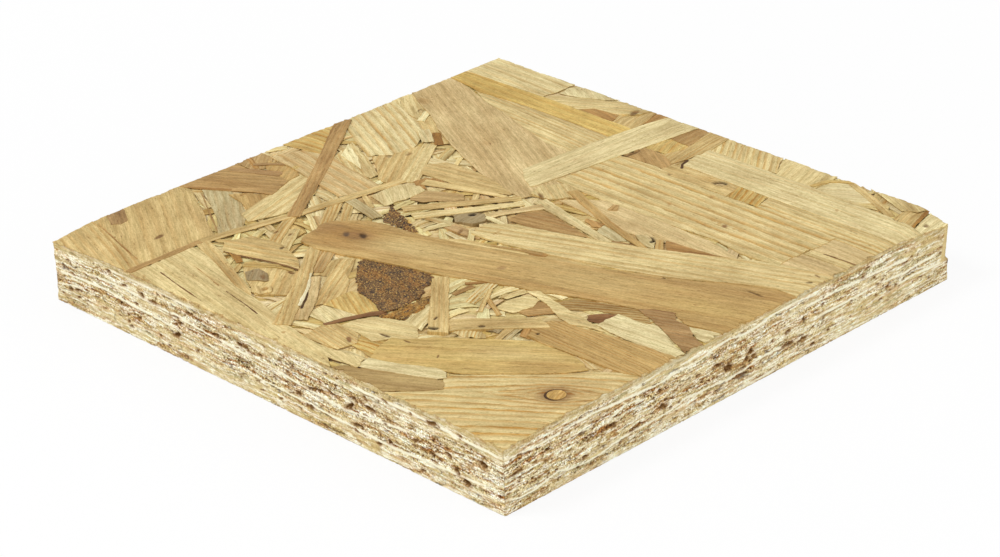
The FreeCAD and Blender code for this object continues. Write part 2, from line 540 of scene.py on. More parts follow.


# ---------------------------------------------------------------- the upper face, strand by strand

# Marks on the wood: x, y, half length, half width, angle, tone, strength, depth, softness. The black marks
# are holes, hollowed by their depth, with their near-black tone painted shade.
MARKS = [
    # the long brown strand: dark round its knots, along its borders and at its foot, paler between
    (-29.5, 26.5, 9.0, 5.5, -65, "nut", 0.55, 0.0, 0.8),
    (-33.5, 20.0, 13.0, 2.2, -68, "nut", 0.45, 0.0, 0.9),
    (-24.5, 8.0, 14.0, 3.6, -68, "pale", 0.50, 0.0, 0.9),
    (-19.4, 20.0, 10.0, 1.6, -74, "umber", 0.45, 0.0, 0.9),
    (-12.0, -14.0, 16.0, 2.4, -67, "tan", 0.45, 0.0, 0.9),
    (-21.5, -24.0, 12.0, 1.5, -66, "nut", 0.30, 0.0, 0.9),
    (-7.0, -38.0, 13.0, 4.5, -67, "tan", 0.50, 0.0, 0.9),
    (-14.5, -44.0, 9.0, 1.0, -68, "nut", 0.40, 0.0, 0.9),
    (4.0, -50.0, 10.0, 1.6, -66, "umber", 0.40, 0.0, 0.9),
    (11.0, -66.0, 13.0, 3.5, -68, "umber", 0.45, 0.0, 0.9),
    (-1.0, -66.0, 11.0, 3.0, -72, "gold", 0.45, 0.0, 0.9),
    (-3.0, -56.0, 6.0, 2.2, -66, "umber", 0.35, 0.0, 0.9),
    (16.0, -76.0, 4.5, 2.5, -60, "nut", 0.5, 0.0, 0.9),
    # stains on the broad strands
    (-58.0, -32.0, 5.0, 3.0, 20, "brown", 0.45, 0.0, 0.9),
    (-48.0, -50.0, 10.0, 2.6, -52, "pale", 0.45, 0.0, 0.9),
    (-45.5, -60.5, 8.0, 2.2, -50, "brown", 0.45, 0.0, 0.9),
    (-68.0, -31.0, 3.0, 6.0, 30, "brown", 0.35, 0.0, 0.9),
    (24.0, 28.0, 9.0, 4.0, 60, "umber", 0.40, 0.0, 0.9),
    (34.0, 42.0, 9.0, 6.0, 40, "umber", 0.35, 0.0, 0.9),
    (48.0, 70.0, 8.0, 5.0, 60, "rose", 0.35, 0.0, 0.9),
    (-58.0, 66.0, 12.0, 3.0, 62, "brown", 0.30, 0.0, 0.9),
    (-48.0, 58.0, 8.0, 2.0, 60, "umber", 0.30, 0.0, 0.9),
    (-30.0, 72.0, 8.0, 2.0, -60, "nut", 0.40, 0.0, 0.9),
    # the front knot: core, ring crack, halo
    (-54.0, -73.0, 9.5, 6.5, -50, "nut", 0.50, 0.0, 0.8),
    (-55.0, -71.9, 4.0, 3.6, -50, "sliver", 0.6, 0.0, 0.3),
    (-17.0, -17.0, 1.3, 1.0, 0, "mauve", 0.8, 0.1, 0.5),
    (-28.5, 24.0, 8.0, 5.2, -60, "rust", 0.55, 0.0, 0.7),
    (-30.6, 33.0, 6.5, 3.0, -50, "sliver", 0.45, 0.0, 0.7),
    (-28.0, 23.0, 3.8, 2.4, -60, "sliver", 0.60, 0.0, 0.6),
    (-29.4, 25.4, 1.3, 0.8, 50, "char", 0.9, 0.15, 0.5),
    (-27.2, 21.6, 1.5, 0.9, 60, "black", 0.80, 0.25, 0.5),
    (-62.0, 59.4, 1.7, 0.7, 12, "shade", 0.85, 0.05, 0.3),
    (-68.0, -17.4, 1.5, 0.6, 55, "sliver", 0.9, 0.05, 0.3),
    (-60.8, -22.0, 1.6, 0.45, -80, "dark", 0.9, 0.3, 0.3),
    (-59.5, -28.2, 1.1, 0.35, -85, "shade", 0.9, 0.1, 0.3),
    (-59.9, -38.9, 0.9, 0.3, 35, "shade", 0.8, 0.1, 0.3),
    (-49.0, -60.5, 9.0, 3.4, -52, "nut", 0.38, 0.0, 0.7),
    (-45.0, -66.0, 5.0, 2.0, -45, "nut", 0.3, 0.0, 0.7),
    (56.2, -23.9, 1.9, 1.25, -62, "black", 0.95, 0.9, 0.35),
    (56.0, -19.8, 2.4, 1.6, -80, "orange", 0.4, 0.1, 0.8),
    (37.4, -41.8, 0.9, 0.7, 40, "sliver", 0.85, 0.1, 0.5),
    (48.5, -27.8, 0.8, 0.7, 0, "nut", 0.6, 0.1, 0.5),
    (37.8, -22.8, 1.3, 0.5, 30, "nut", 0.5, 0.1, 0.5),
    (52.0, -10.4, 0.9, 0.6, 20, "shade", 0.6, 0.2, 0.5),
    (63.2, -56.8, 0.9, 0.45, 35, "nut", 0.5, 0.0, 0.5),
    (0.0, 10.3, 1.15, 0.9, 0, "black", 1.0, 1.0, 0.3),
    (-1.8, 5.6, 2.4, 0.7, -15, "dark", 0.7, 0.3, 0.4),
    (20.1, -32.8, 0.8, 1.2, -20, "black", 0.95, 0.9, 0.3),
    (18.8, -34.2, 0.8, 0.6, 0, "black", 0.9, 0.8, 0.3),
    (28.3, -8.3, 1.2, 0.6, 80, "dark", 0.9, 0.4, 0.3),
    (-50.7, -27.6, 1.5, 0.75, -60, "black", 0.95, 0.9, 0.3),
    (-46.7, -24.5, 1.0, 0.35, 20, "dark", 0.9, 0.4, 0.3),
    (-42.3, -35.5, 0.9, 0.55, -50, "black", 0.9, 0.6, 0.3),
    (-43.2, -38.6, 1.1, 0.8, 70, "dark", 0.95, 0.7, 0.3),
    (-36.2, -48.0, 0.6, 0.5, 30, "black", 0.9, 0.4, 0.3),
    (38.0, 68.6, 1.1, 0.8, 30, "dark", 0.95, 0.7, 0.4),
    (43.0, 73.0, 2.6, 1.5, 70, "umber", 0.8, 0.05, 0.5),
    (34.0, 39.3, 1.8, 1.4, 30, "umber", 0.45, 0.0, 0.8),
    (75.5, 23.8, 2.1, 0.9, 10, "shade", 0.8, 0.3, 0.4),
    (73.0, -77.5, 1.0, 0.6, 10, "shade", 0.8, 0.2, 0.4),
    (68.9, -71.8, 1.7, 0.6, 80, "shade", 0.85, 0.4, 0.3),
    # a painted shadow line along the patch's upper edge, over a shallow hollow
    (55.2, 5.9, 2.6, 0.7, -4, "dark", 0.7, 0.4, 0.5),
    (3.0, 49.0, 1.3, 0.8, 50, "shade", 0.7, 0.3, 0.4),
    (15.6, 49.8, 1.3, 0.6, 10, "shade", 0.6, 0.3, 0.5),
    (11.3, 52.8, 1.3, 0.9, 60, "slate", 0.7, 0.2, 0.5),
    (6.3, 63.2, 0.4, 0.3, 60, "slate", 0.6, 0.2, 0.5),
    (-43.0, 39.6, 0.9, 1.1, 20, "dark", 0.85, 0.4, 0.3),
    (-40.5, 39.6, 1.0, 0.4, 10, "shade", 0.8, 0.3, 0.3),
    (-38.8, 36.0, 0.8, 0.4, 20, "shade", 0.8, 0.3, 0.3),
    (-45.5, 31.6, 0.9, 0.5, 15, "char", 0.8, 0.3, 0.3),
    (-63.6, 17.4, 1.1, 0.8, 20, "rust", 0.8, 0.3, 0.4),
    (-53.0, 19.8, 0.7, 1.2, -15, "shade", 0.85, 0.3, 0.3),
    (-59.6, 22.6, 1.3, 0.7, 60, "shade", 0.7, 0.2, 0.5),
    (-8.8, 5.6, 1.6, 0.5, 25, "shade", 0.7, 0.3, 0.4),
    (-10.0, 17.8, 0.6, 0.5, 0, "dark", 0.7, 0.3, 0.4),
    (-10.5, 65.6, 1.2, 0.9, 25, "gold", 0.8, 0.2, 0.4),
    (-31.0, 63.2, 1.5, 0.5, 20, "nut", 0.8, 0.3, 0.4),
    (-24.5, 52.0, 0.5, 0.4, 0, "nut", 0.3, 0.0, 0.5),
    (20.0, 5.3, 1.6, 0.5, 65, "shade", 0.85, 0.4, 0.4),
    (22.0, 0.3, 1.2, 0.6, 0, "orange", 0.8, 0.3, 0.4),
    (34.6, -37.2, 0.7, 0.3, 10, "shade", 0.3, 0.1, 0.4),
    (-3.6, -2.0, 1.6, 0.35, 5, "nut", 0.5, 0.2, 0.5),
    (27.0, -77.7, 0.9, 0.4, -40, "dark", 0.85, 0.3, 0.3),
    (13.7, -72.0, 0.4, 2.4, 0, "dark", 0.7, 0.3, 0.4),
    (-78.7, 44.8, 0.8, 0.3, 70, "nut", 0.6, 0.1, 0.4),
    (-75.8, -3.2, 0.6, 0.5, 20, "nut", 0.8, 0.1, 0.4),
    (-70.5, -1.5, 1.3, 1.0, 0, "gold", 0.3, 0.0, 0.5),
    (31.0, -77.0, 1.0, 0.4, 80, "shade", 0.8, 0.3, 0.3),
    (10.0, -57.5, 0.8, 0.5, 0, "dark", 0.5, 0.3, 0.4),
    (6.2, -50.4, 1.2, 0.7, -30, "dark", 0.9, 0.4, 0.3),
]
# Knots that the grain flows round: x, y, radius
KNOTS = [(-55.0, -72.0, 4.2), (-28.5, 24.0, 3.5), (56.2, -23.9, 2.0), (-17.0, -17.0, 1.2),
         (37.4, -41.8, 1.0)]

# Strands from the outermost down: tone, grain angle, growth rings (spacing, contrast), outline, options.
# With no angle, the grain follows the outline's longest side.
STRANDS = [
    # the front knot lies in its own ring crack: the thin dark strand under the knot shows as the crack, its
    # dark tone painted shade
    ("orange", 20, (0.8, 0.3),
     [(-54.9 + 2.35 * math.cos(t / 3), -72.0 + 2.2 * math.sin(t / 3)) for t in range(19)],
     dict(thick=0.2, splinter=0.1)),
    ("dark", 0, (3, 0),
     [(-55.1 + 2.75 * math.cos(t / 3), -71.8 + 2.5 * math.sin(t / 3)) for t in range(19)],
     dict(thick=0.03, splinter=0.1, under=0.0, stiff=1)),
    # long thin and crossing strands
    ("umber", None, (1.3, 0.22), strip([(20, 80), (-6, 60.5), (-31.2, 43.2)], 4.4, 3.3), dict(thick=0.45)),
    ("bright", -4, (2.6, 0.08), [(22, 11.2), (25, 16.4), (28.5, 20.2), (45, 19.3), (60, 17.9), (70, 16.7),
     (80, 14.8), (80, 4), (70, 5), (60, 6.2), (50, 7.5), (35, 9.3), (24, 10.4)], dict(thick=0.35)),
    ("pale", -68, (2.3, 0.26), [(-8, 2.5), (-2, 4), (2, 0), (4, -5), (7, -14), (10, -23), (15, -36),
     (18, -42), (21, -48), (24, -54), (28.3, -62), (31.3, -70), (33.5, -80), (19.5, -80), (19, -74),
     (15.5, -66), (10.5, -58), (6.6, -50.5), (2.6, -41), (-0.4, -32), (-3.2, -22), (-4.4, -17), (-7, -8)],
     dict(thick=0.4, splinter=1.2)),
    ("mauve", -68, (1.5, 0.25), [(-11, -56.8), (-8.4, -60), (-6.6, -64.8), (-9.4, -67), (-10, -72),
     (-13, -76), (-14.2, -80), (-20.2, -80), (-18.2, -75), (-16, -70), (-13.4, -64), (-12, -59.5)],
     dict(thick=0.4)),
    ("tan", None, (1.1, 0.3), strip([(-51.3, -30), (-30.6, -9.6)], 5.0, 4.0, 0.6), dict(thick=0.4)),
    ("tan", None, (2.5, 0.1), strip([(-47.3, -28.6), (-31, -45.4)], 6.0, 4.6, 1.2), dict(thick=0.4)),
    ("pale", -75, (2.0, 0.12), [(-21.8, -30.2), (-19.8, -33), (-21.8, -42), (-23, -50), (-25, -59),
     (-26, -54), (-27.6, -50), (-27, -46.5), (-23.4, -38)], dict(thick=0.35)),
    ("brown", -69, (4.5, 0.10), [(-39.8, 31), (-36, 33), (-32.5, 33.2), (-30, 34.6), (-27, 34.4),
     (-23.6, 31.2), (-20.3, 27.5), (-18.6, 22), (-17.6, 14.5), (-16, 8), (-13.6, 0), (-10.6, -8), (-8, -15),
     (-5.4, -22), (-2.6, -30), (0.4, -37), (3.6, -44), (6.6, -51), (9.4, -57), (13.6, -62), (16.6, -66),
     (18.8, -71), (19.8, -76), (20, -80), (-7, -80), (-8.2, -75), (-9.4, -70), (-7.2, -65.2), (-9.5, -60),
     (-11, -57), (-13, -50), (-16, -42), (-20, -33), (-22, -27), (-25.5, -18), (-29.5, -9), (-31.4, -2),
     (-33.4, 5), (-36, 13), (-38.2, 18), (-40, 25)], dict(thick=0.5, mesh=1.2)),
    ("brown", 90, (1.1, 0.3), [(-38.4, -46.6), (-34.4, -45.2), (-29, -45.6), (-27, -48), (-27.2, -52),
     (-26, -58), (-25, -65), (-24, -72), (-23.2, -80), (-35.2, -80), (-37.2, -76), (-37.6, -72), (-38, -62),
     (-39, -52)], dict(thick=0.4, splinter=1.6)),
    # left side
    ("tan", 68, (1.8, 0.2), [(-58.5, 49), (-55, 48.4), (-56.8, 42), (-59.8, 35), (-62.8, 28), (-65.8, 20),
     (-68, 17.2), (-67.2, 24), (-64.2, 32), (-61.2, 40)], dict(thick=0.4)),
    ("white", None, (2, 0.05), strip([(-63.8, 4.6), (-56, 10.2), (-50.2, 15.6)], 1.0, 0.5),
     dict(thick=0.1)),
    ("dark", None, (2, 0), strip([(-64.5, 3.2), (-60, 6.4), (-57.6, 8.6)], 0.4, 0.5),
     dict(thick=0.03, under=0.15)),
    ("tan", None, (1.4, 0.28), strip([(-73.4, 0.2), (-57, 12), (-38.6, 26.8)], 4.6, 3.0), dict(thick=0.45)),
    ("pink", None, (1.6, 0.22), strip([(-69, -0.8), (-60, 5.2), (-50.6, 13.4)], 4.4, 2.6), dict(thick=0.4)),
    ("umber", None, (0.9, 0.15), strip([(-80, 49.8), (-68, 49.6), (-56.6, 49.8)], 1.9, 1.9),
     dict(thick=0.3)),
    ("tan", None, (1.6, 0.25), strip([(-56.6, 49.6), (-40, 46.2), (-30, 44), (-14, 41.3),
     (3, 38.4)], 2.8, 2.6), dict(thick=0.4)),
    ("shade", None, (2, 0), strip([(-74.6, 44), (-76.5, 34), (-78, 24.2)], 0.3, 0.25), dict(thick=0.03)),
    ("shade", None, (2, 0), strip([(-70.6, 24), (-72.2, 15), (-73.6, 8.6)], 0.25, 0.25), dict(thick=0.03)),
    ("nut", None, (2, 0), strip([(-66.8, 40), (-68.4, 33), (-70, 27)], 0.3, 0.3), dict(thick=0.03)),
    ("nut", None, (2, 0), strip([(-67.6, 76), (-71.6, 62), (-73.8, 53.4)], 0.35, 0.35), dict(thick=0.03)),
    ("pale", 80, (3.2, 0.10), [(-80, 48.8), (-60, 48.8), (-59.4, 44), (-61.4, 37), (-64.4, 30), (-67, 22),
     (-68.4, 15), (-70, 8), (-72, 1), (-74, -8), (-74.2, -16), (-72, -27), (-76, -29), (-77.2, -20),
     (-80, -24)], dict(thick=0.45, splinter=1.0)),
    ("dark", None, (2, 0), strip([(-77.2, -20.4), (-76.4, -25), (-75.6, -29.6)], 0.5, 0.4),
     dict(thick=0.03)),
    ("cream", -62, (2.2, 0.06), [(-75.6, -28), (-71, -27.4), (-70, -31), (-68, -35.6), (-66, -39),
     (-64, -43.4), (-64.2, -46), (-66, -48), (-68, -46.5), (-69.2, -44), (-72, -38), (-74.6, -32)],
     dict(thick=0.3)),
    ("gold", -52, (6.0, 0.12), [(-71, -28), (-67, -25.6), (-60.6, -24), (-58.6, -27.4), (-52, -33.2),
     (-47, -40), (-42.4, -46), (-39, -50.6), (-38.6, -58), (-38.8, -63), (-41.4, -69.2), (-46, -66.4),
     (-51, -61.4), (-57, -54.8), (-62, -49.2), (-64, -45), (-66, -39), (-68.6, -35)], dict(thick=0.45)),
    ("drab", -60, (0.9, 0.14), [(-80, -24), (-77, -26), (-75, -29), (-73.4, -34), (-71, -39),
     (-68.4, -44.4), (-67.4, -48), (-70, -51.2), (-73, -49), (-76.6, -45.5), (-80, -41)], dict(thick=0.4)),
    ("pale", -51, (2.7, 0.55), [(-80, -42), (-77, -45), (-73, -48.4), (-70, -50.6), (-66, -47),
     (-63.6, -47.6), (-57, -54.6), (-50, -61.6), (-44, -68), (-38, -74.4), (-33, -80), (-80, -80)],
     dict(thick=0.45, mesh=0.8, ridge=0.05)),
    # bark flakes and what lies round them
    ("sliver", None, (0.8, 0.2), strip([(-66.6, -7.2), (-60, -9.6), (-52, -12.8)], 1.3, 2.2),
     dict(thick=0.2)),
    ("tan", 80, (1.2, 0.35), [(-74, -8), (-66, -7), (-64, -9), (-64.5, -17), (-68, -20), (-73, -19)], {}),
    ("pale", -70, (2.5, 0.1), [(-64.5, -10.5), (-60, -11), (-55, -13), (-53.6, -16), (-52.4, -20),
     (-53, -25), (-57, -29), (-60.6, -24.4), (-65, -22), (-64, -16)], {}),
    ("gold", -78, (1.9, 0.75), [(-69.4, -19), (-63, -17.5), (-60, -20), (-60.5, -24), (-66, -25),
     (-70.4, -28), (-69.6, -22)], dict(ridge=0.15, mesh=0.6)),
    ("bright", 75, (2.4, 0.12), [(-65.5, 1), (-60, 0.5), (-59, -4), (-58, -9.5), (-63, -8), (-66, -6.5)],
     {}),
    ("gold", 62, (1.5, 0.4), [(-59.5, 1), (-50, 1), (-49.4, -4), (-51, -10), (-54, -12.4), (-58, -10)], {}),
    ("bright", None, (2.2, 0.2), strip([(-53, -22.8), (-36.4, -16.4)], 5.6, 4.6, 0.5), {}),
    # chips left of the long brown strand
    ("umber", None, (1, 0.3), strip([(-34.6, -18.5), (-28.4, -18.8)], 1.5, 1.6), {}),
    ("nut", None, (1, 0.3), strip([(-28.8, -16.4), (-24.4, -19.6)], 1.3, 1.4), {}),
    ("tan", None, (0.8, 0.3), strip([(-37.2, -29.8), (-27, -23.2)], 1.2, 1.3), {}),
    ("brown", None, (0.8, 0.3), strip([(-35.2, -34.4), (-30.6, -25.4)], 1.3, 1.5), {}),
    ("bright", None, (1.1, 0.6), strip([(-35.6, -24.6), (-23.2, -20.4)], 3.2, 3.6),
     dict(ridge=0.2, mesh=0.5)),
    ("bright", None, (1.1, 0.45), strip([(-30.4, -25.6), (-21.8, -26.8)], 2.0, 2.6),
     dict(ridge=0.15, mesh=0.5)),
    ("pale", None, (0.9, 0.5), strip([(-28, -28.8), (-21.4, -29.8)], 2.2, 2.8), dict(ridge=0.1, mesh=0.5)),
    ("pale", -60, (2, 0.1), [(-33.4, -31), (-28, -30.4), (-22.6, -32), (-23, -36), (-27, -37.5),
     (-32.4, -36)], {}),
    ("umber", -35, (1.1, 0.4), [(-31.4, -35), (-24, -35.5), (-22.6, -38), (-25.6, -43.4), (-31, -40)], {}),
    ("tan", None, (0.9, 0.4), strip([(-46.4, -43.4), (-36, -40.4)], 1.7, 2.0), {}),
    ("grey", None, (0.9, 0.3), strip([(-43.6, -44.4), (-36.4, -42.4)], 1.5, 1.5), {}),
    ("nut", 30, (1, 0.4), [(-39.4, -45.2), (-35, -42.8), (-33.8, -45), (-36.6, -49), (-39, -48)], {}),
    ("slate", 60, (1, 0.2), [(-42.6, -36.8), (-39.6, -37), (-39.4, -40.2), (-42, -40.6)], {}),
    ("pale", 38, (0.9, 0.55), [(-48.6, -31), (-45, -31.4), (-42.8, -35.6), (-45.6, -40.4), (-49, -36)],
     dict(ridge=0.1, mesh=0.5)),
    ("grey", 50, (1, 0.2), [(-43, -43), (-40.4, -44), (-40, -47.6), (-42.6, -46)], {}),
    ("bright", 80, (1, 0.1), [(-41.6, -45.6), (-38.4, -46), (-38.4, -50), (-40.4, -50)], {}),
    ("bright", -5, (1.5, 0.1), [(-50.6, -25), (-44.4, -23), (-46, -28), (-49.8, -29.6)], {}),
    # front edge
    ("cream", -84, (3, 0.07), [(-23.6, -55), (-16, -55), (-15.8, -62), (-14.2, -65.8), (-16, -70),
     (-19, -75), (-20.4, -80), (-23.6, -80), (-24.4, -70), (-24.2, -60)], {}),
    ("sliver", -50, (1.0, 0.3), [(-23.4, -52), (-21.5, -50), (-18.6, -52), (-16.4, -55), (-18.5, -56.8),
     (-22, -56.8)], dict(fibre=2.0)),
    ("drab", -58, (1.25, 0.75), [(-21, -40), (-17, -41.4), (-13, -49.6), (-10.6, -56), (-12.8, -62),
     (-14.8, -65), (-16.4, -62), (-16, -56), (-18, -50), (-22.4, -45)], dict(ridge=0.15, mesh=0.55)),
    ("cream", -75, (2, 0.05), [(-13, -80), (-13, -77), (-10, -70.6), (-8.2, -76), (-6.4, -80)], {}),
    # gap between the long brown strand and its pale neighbour
    ("umber", None, (0.8, 0.3), strip([(-9.6, -6), (-7, -12), (-4.6, -19)], 0.7, 1.3), dict(splinter=0.3)),
    ("nut", None, (0.8, 0.3), strip([(-6.6, -16), (-4, -19.8)], 1.6, 1.8), dict(splinter=0.8)),
    ("tan", None, (2.2, 0.22), [(-15, 6), (-12, 2), (-9, -6), (-6, -13), (-3.4, -20), (0.4, -30),
     (1.6, -37), (-4, -30), (-7, -21), (-10, -13), (-13, -4)], {}),
    # middle
    ("bright", 55, (2.4, 0.1), [(-11, 31), (-9.4, 38), (0, 38.4), (3.2, 33), (2.4, 30), (-3, 29.4),
     (-8, 30.5)], {}),
    ("pale", None, (2.0, 0.2), strip([(-10.6, 20.8), (2, 12.4), (13.6, 5.2)], 3.4, 2.4), dict(thick=0.4)),
    ("tan", None, (1.5, 0.3), strip([(-9.4, 26), (15.4, 8.2)], 3.2, 2.4), {}),
    ("tan", None, (1.6, 0.14), strip([(5.8, 34), (13.6, 11.6)], 3.4, 1.4), dict(thick=0.4)),
    ("nut", 20, (1.2, 0.3), [(2.4, 31.4), (4, 36.2), (8, 35.4), (9.8, 31.5), (9.2, 27.8), (7.5, 29),
     (6.5, 33.5), (4.6, 33), (3.4, 30.2)], dict(thick=0.2)),
    ("rose", -55, (3, 0.08), [(-4.2, 28.6), (-2, 30.4), (2, 29.8), (4.6, 26), (7.2, 20.4), (5, 18.2),
     (2, 20), (0, 23), (-3, 25)], {}),
    ("tan", 102, (2.5, 0.2), [(9, 38), (14, 41.4), (18.6, 38), (19.4, 30), (18.4, 20), (15.6, 11.4),
     (12.5, 17), (10, 24), (10, 31)], {}),
    ("slate", 10, (1.5, 0.15), [(-6, 10.5), (-3, 14), (0.6, 13.2), (2.4, 8), (0, 5.2), (-3.4, 6)], {}),
    ("cream", None, (1.5, 0.1), strip([(1.7, 9.4), (1.2, -2.2)], 1.3, 1.4), {}),
    ("pink", None, (1.5, 0.2), strip([(2.6, 7), (15.6, 0.2)], 2.4, 3.0), {}),
    ("bright", None, (1.8, 0.1), strip([(17.4, 3.2), (11, -26.4)], 4.0, 2.2), dict(thick=0.4)),
    ("brown", None, (1.5, 0.3), strip([(27.6, 1.4), (19.6, -18), (14.6, -35.6)], 3.0, 1.6),
     dict(thick=0.4)),
    ("umber", None, (1.5, 0.3), strip([(12, -26.5), (15, -35.4)], 1.6, 1.2), {}),
    ("umber", -76, (2, 0.2), [(4, 1), (9, 2), (14.2, 0), (14, -5), (12, -12), (10.4, -21.4), (7, -13),
     (4.4, -5)], {}),
    ("nut", 70, (1, 0.3), [(15.2, -17.6), (16.4, -13.4), (17.8, -13), (18.6, -18.4), (16, -19)], {}),
    ("grey", 75, (2.2, 0.15), [(14, -20), (18.8, -17.4), (17.6, -22.6), (15, -29), (13, -27.4)], {}),
    ("brown", None, (1.1, 0.3), strip([(16, -39), (20.6, -35.2)], 2.2, 2.0), {}),
    ("cream", 80, (1, 0.1), [(16, -33), (19, -28.4), (20.4, -31), (19, -35), (16.6, -37)], {}),
    ("nut", -70, (1.6, 0.2), [(17, -41.4), (20, -37.6), (21.6, -36.4), (22.2, -44), (23.9, -54), (20, -49)],
     {}),
    ("umber", None, (1, 0.3), strip([(25.6, -14.4), (28.6, -13)], 2.6, 1.6), {}),
    ("pink", 86, (3.5, 0.1), [(21, 0), (27, -6), (28.7, -10), (28.8, -30), (28.4, -45), (25.6, -57),
     (23.4, -50), (21.2, -38), (18.4, -25)], {}),
    ("pale", 60, (1.4, 0.2), [(19, 8), (24, 9.8), (29.4, 6), (29, 1), (25, -1), (20, 2)], {}),
    ("rose", None, (1.2, 0.3), strip([(24.6, -1.4), (28.2, 2.2)], 2.2, 1.8), {}),
    # right side
    # a thin dark strand in a crack, its dark tone painted shade
    ("dark", None, (2, 0), strip([(56.6, -10.4), (58.4, -8.8), (61.6, -8.1)], 0.5, 0.9), dict(thick=0.03)),
    ("bright", 90.5, (1.9, 0.16), [(58.5, -8.5), (62, -7.8), (70.5, -8), (70.3, -30), (70, -55), (69, -70),
     (68.6, -80), (58, -80), (58, -40)], dict(thick=0.4)),
    ("pale", 90, (3.4, 0.42), [(29.4, 9), (52.2, 8), (53.2, -5), (51.6, -15), (51, -25), (51.2, -45),
     (50.6, -66.6), (42, -66.8), (41.6, -66), (29.2, -66), (28.2, -55), (30, -45), (29, -30), (28.6, -10)],
     dict(thick=0.5, ridge=0.04)),
    ("gold", 20, (1.6, 0.6), [(51.6, -30), (58, -29), (58, -38.5), (51.8, -40.2)],
     dict(ridge=0.12, mesh=0.6)),
    ("tan", 92, (2.2, 0.18), [(51.8, -6), (57, -7), (58.6, -10), (58.6, -20), (58.2, -29.4), (51.6, -30.4),
     (51.4, -15)], {}),
    ("umber", 60, (2, 0.1), [(53.2, 7), (60.4, 6.2), (60, -1), (57, -6.6), (53.6, -6)], {}),
    ("pale", 90, (1.7, 0.42), [(50.8, -40), (58.2, -39), (58.6, -80), (49.8, -80), (50.4, -60)], {}),
    ("pale", None, (1.3, 0.2), strip([(39.8, -66.4), (40.2, -80)], 2.8, 2.6), dict(thick=0.4)),
    ("shade", None, (2, 0), strip([(41.7, -70), (42.3, -79.8)], 0.35, 0.35), dict(thick=0.03)),
    ("pink", 90, (3, 0.1), [(28.8, -65), (39, -65), (38.8, -80), (32.4, -80), (30.6, -73)], {}),
    ("pink", 88, (2, 0.15), [(41.4, -66), (50.8, -66), (50.6, -80), (42, -80)], {}),
    ("tan", 8, (1.3, 0.35), [(59, 0), (66, -2.8), (80, 0), (80, -6.6), (71, -8.2), (62, -7.2), (57.6, -6)],
     {}),
    ("umber", 5, (2, 0.2), [(69.6, 5.4), (80, 4.2), (80, -0.2), (74, -1.2), (68.8, -2)], dict(under=0.1)),
    ("gold", 20, (2.4, 0.3), [(60, 6.4), (70, 5.4), (69, -3), (61.6, -3.6)], dict(under=0.05)),
    ("pale", 34, (1.75, 0.42), [(70.4, -8), (80, -6.4), (80, -25.4), (76, -27.2), (71, -30.8), (70.2, -20)],
     dict(ridge=0.06, mesh=0.7)),
    ("gold", None, (1.2, 0.25), strip([(70.6, -42.4), (76, -43.8), (80, -49)], 1.3, 1.6), {}),
    ("pale", 15, (2.6, 0.14), [(70, -31), (76, -27.6), (80, -26), (80, -43.6), (76, -44), (69.8, -44)], {}),
    ("tan", None, (1.2, 0.3), strip([(70, -68.6), (75, -58), (79.2, -48.6)], 2.4, 1.8), {}),
    ("cream", -55, (1.8, 0.15), [(70.2, -44), (75, -43.5), (79.6, -47), (77, -54), (74, -62), (70.2, -58)],
     {}),
    ("pale", 62, (1.6, 0.2), [(74, -69), (80, -54), (80, -73), (76, -72.4)], {}),
    ("rust", None, (1, 0.1), strip([(68.4, -76.4), (74, -74.9), (79.6, -73.1)], 0.6, 0.9), dict(thick=0.1)),
    ("tan", 12, (1.8, 0.2), [(68.4, -69.6), (80, -69.4), (79.6, -73.4), (69, -76.6)], {}),
    ("cream", 12, (2, 0.12), [(68.4, -77), (80, -73.8), (80, -80), (68.4, -80)], {}),
    # right back
    ("amber", 89, (3.2, 0.3), [(58.2, 66), (59.8, 50), (59.6, 17), (67.2, 17), (67.3, 50), (66.4, 80),
     (60.5, 80)], dict(thick=0.4)),
    ("pink", 63, (6, 0.08), [(45.6, 80), (41.6, 73), (38, 65), (33, 57), (28, 47), (24, 38), (20, 28),
     (17, 18), (15.8, 8), (30, 3), (44, 8), (45, 28), (48, 38), (52, 50), (54.4, 60), (58.4, 70),
     (60.8, 80)], dict(thick=0.5)),
    ("pale", 86, (1.6, 0.3), [(41.6, 17), (45, 28.6), (48, 38.6), (52, 50.6), (54.6, 60), (58.4, 68),
     (60, 50), (59.8, 17)], dict(thick=0.4)),
    ("bright", 88, (3.0, 0.22), [(66.2, 80), (67.2, 60), (67.4, 50.4), (74, 49.8), (80, 50), (80, 80)], {}),
    ("cream", 62, (3, 0.06), [(72, 48.6), (77, 49.6), (80, 46), (80, 33), (77, 36), (74.4, 41)],
     dict(under=0.05)),
    ("pale", -60, (2.4, 0.15), [(67, 51), (70, 49), (75, 40), (80, 30), (80, 21), (76, 22), (71.6, 27),
     (70.6, 34), (67.4, 37)], {}),
    ("nut", 80, (2, 0.15), [(67, 37), (69.6, 36.4), (72, 31), (71.6, 26), (67, 24.4)], {}),
    ("tan", 15, (1.8, 0.25), [(67, 26), (76, 26.6), (80, 24.6), (80, 19.4), (72, 17), (67, 17)], {}),
    ("nut", 10, (1.6, 0.2), [(71.6, 18.6), (75, 19.4), (80, 20.6), (80, 14.6), (72.6, 15.2)], {}),
    # back, middle
    ("gold", 100, (2.3, 0.5), [(-2.4, 80), (19, 80), (13.4, 74.5), (8, 70.8), (2.4, 67), (0.2, 68),
     (-1.4, 72)], dict(ridge=0.05, mesh=0.8)),
    ("pink", 82, (3.1, 0.42), [(-10.4, 76), (2.4, 71.6), (1.6, 64), (-1, 57), (-2, 49), (-4, 38),
     (-9.6, 41), (-15.2, 44), (-14.2, 50), (-12.6, 58), (-11.2, 66)], dict(thick=0.4)),
    ("cream", None, (1.5, 0.2), strip([(24.4, 51.6), (29.4, 58.6)], 3.4, 3.2), dict(thick=0.4)),
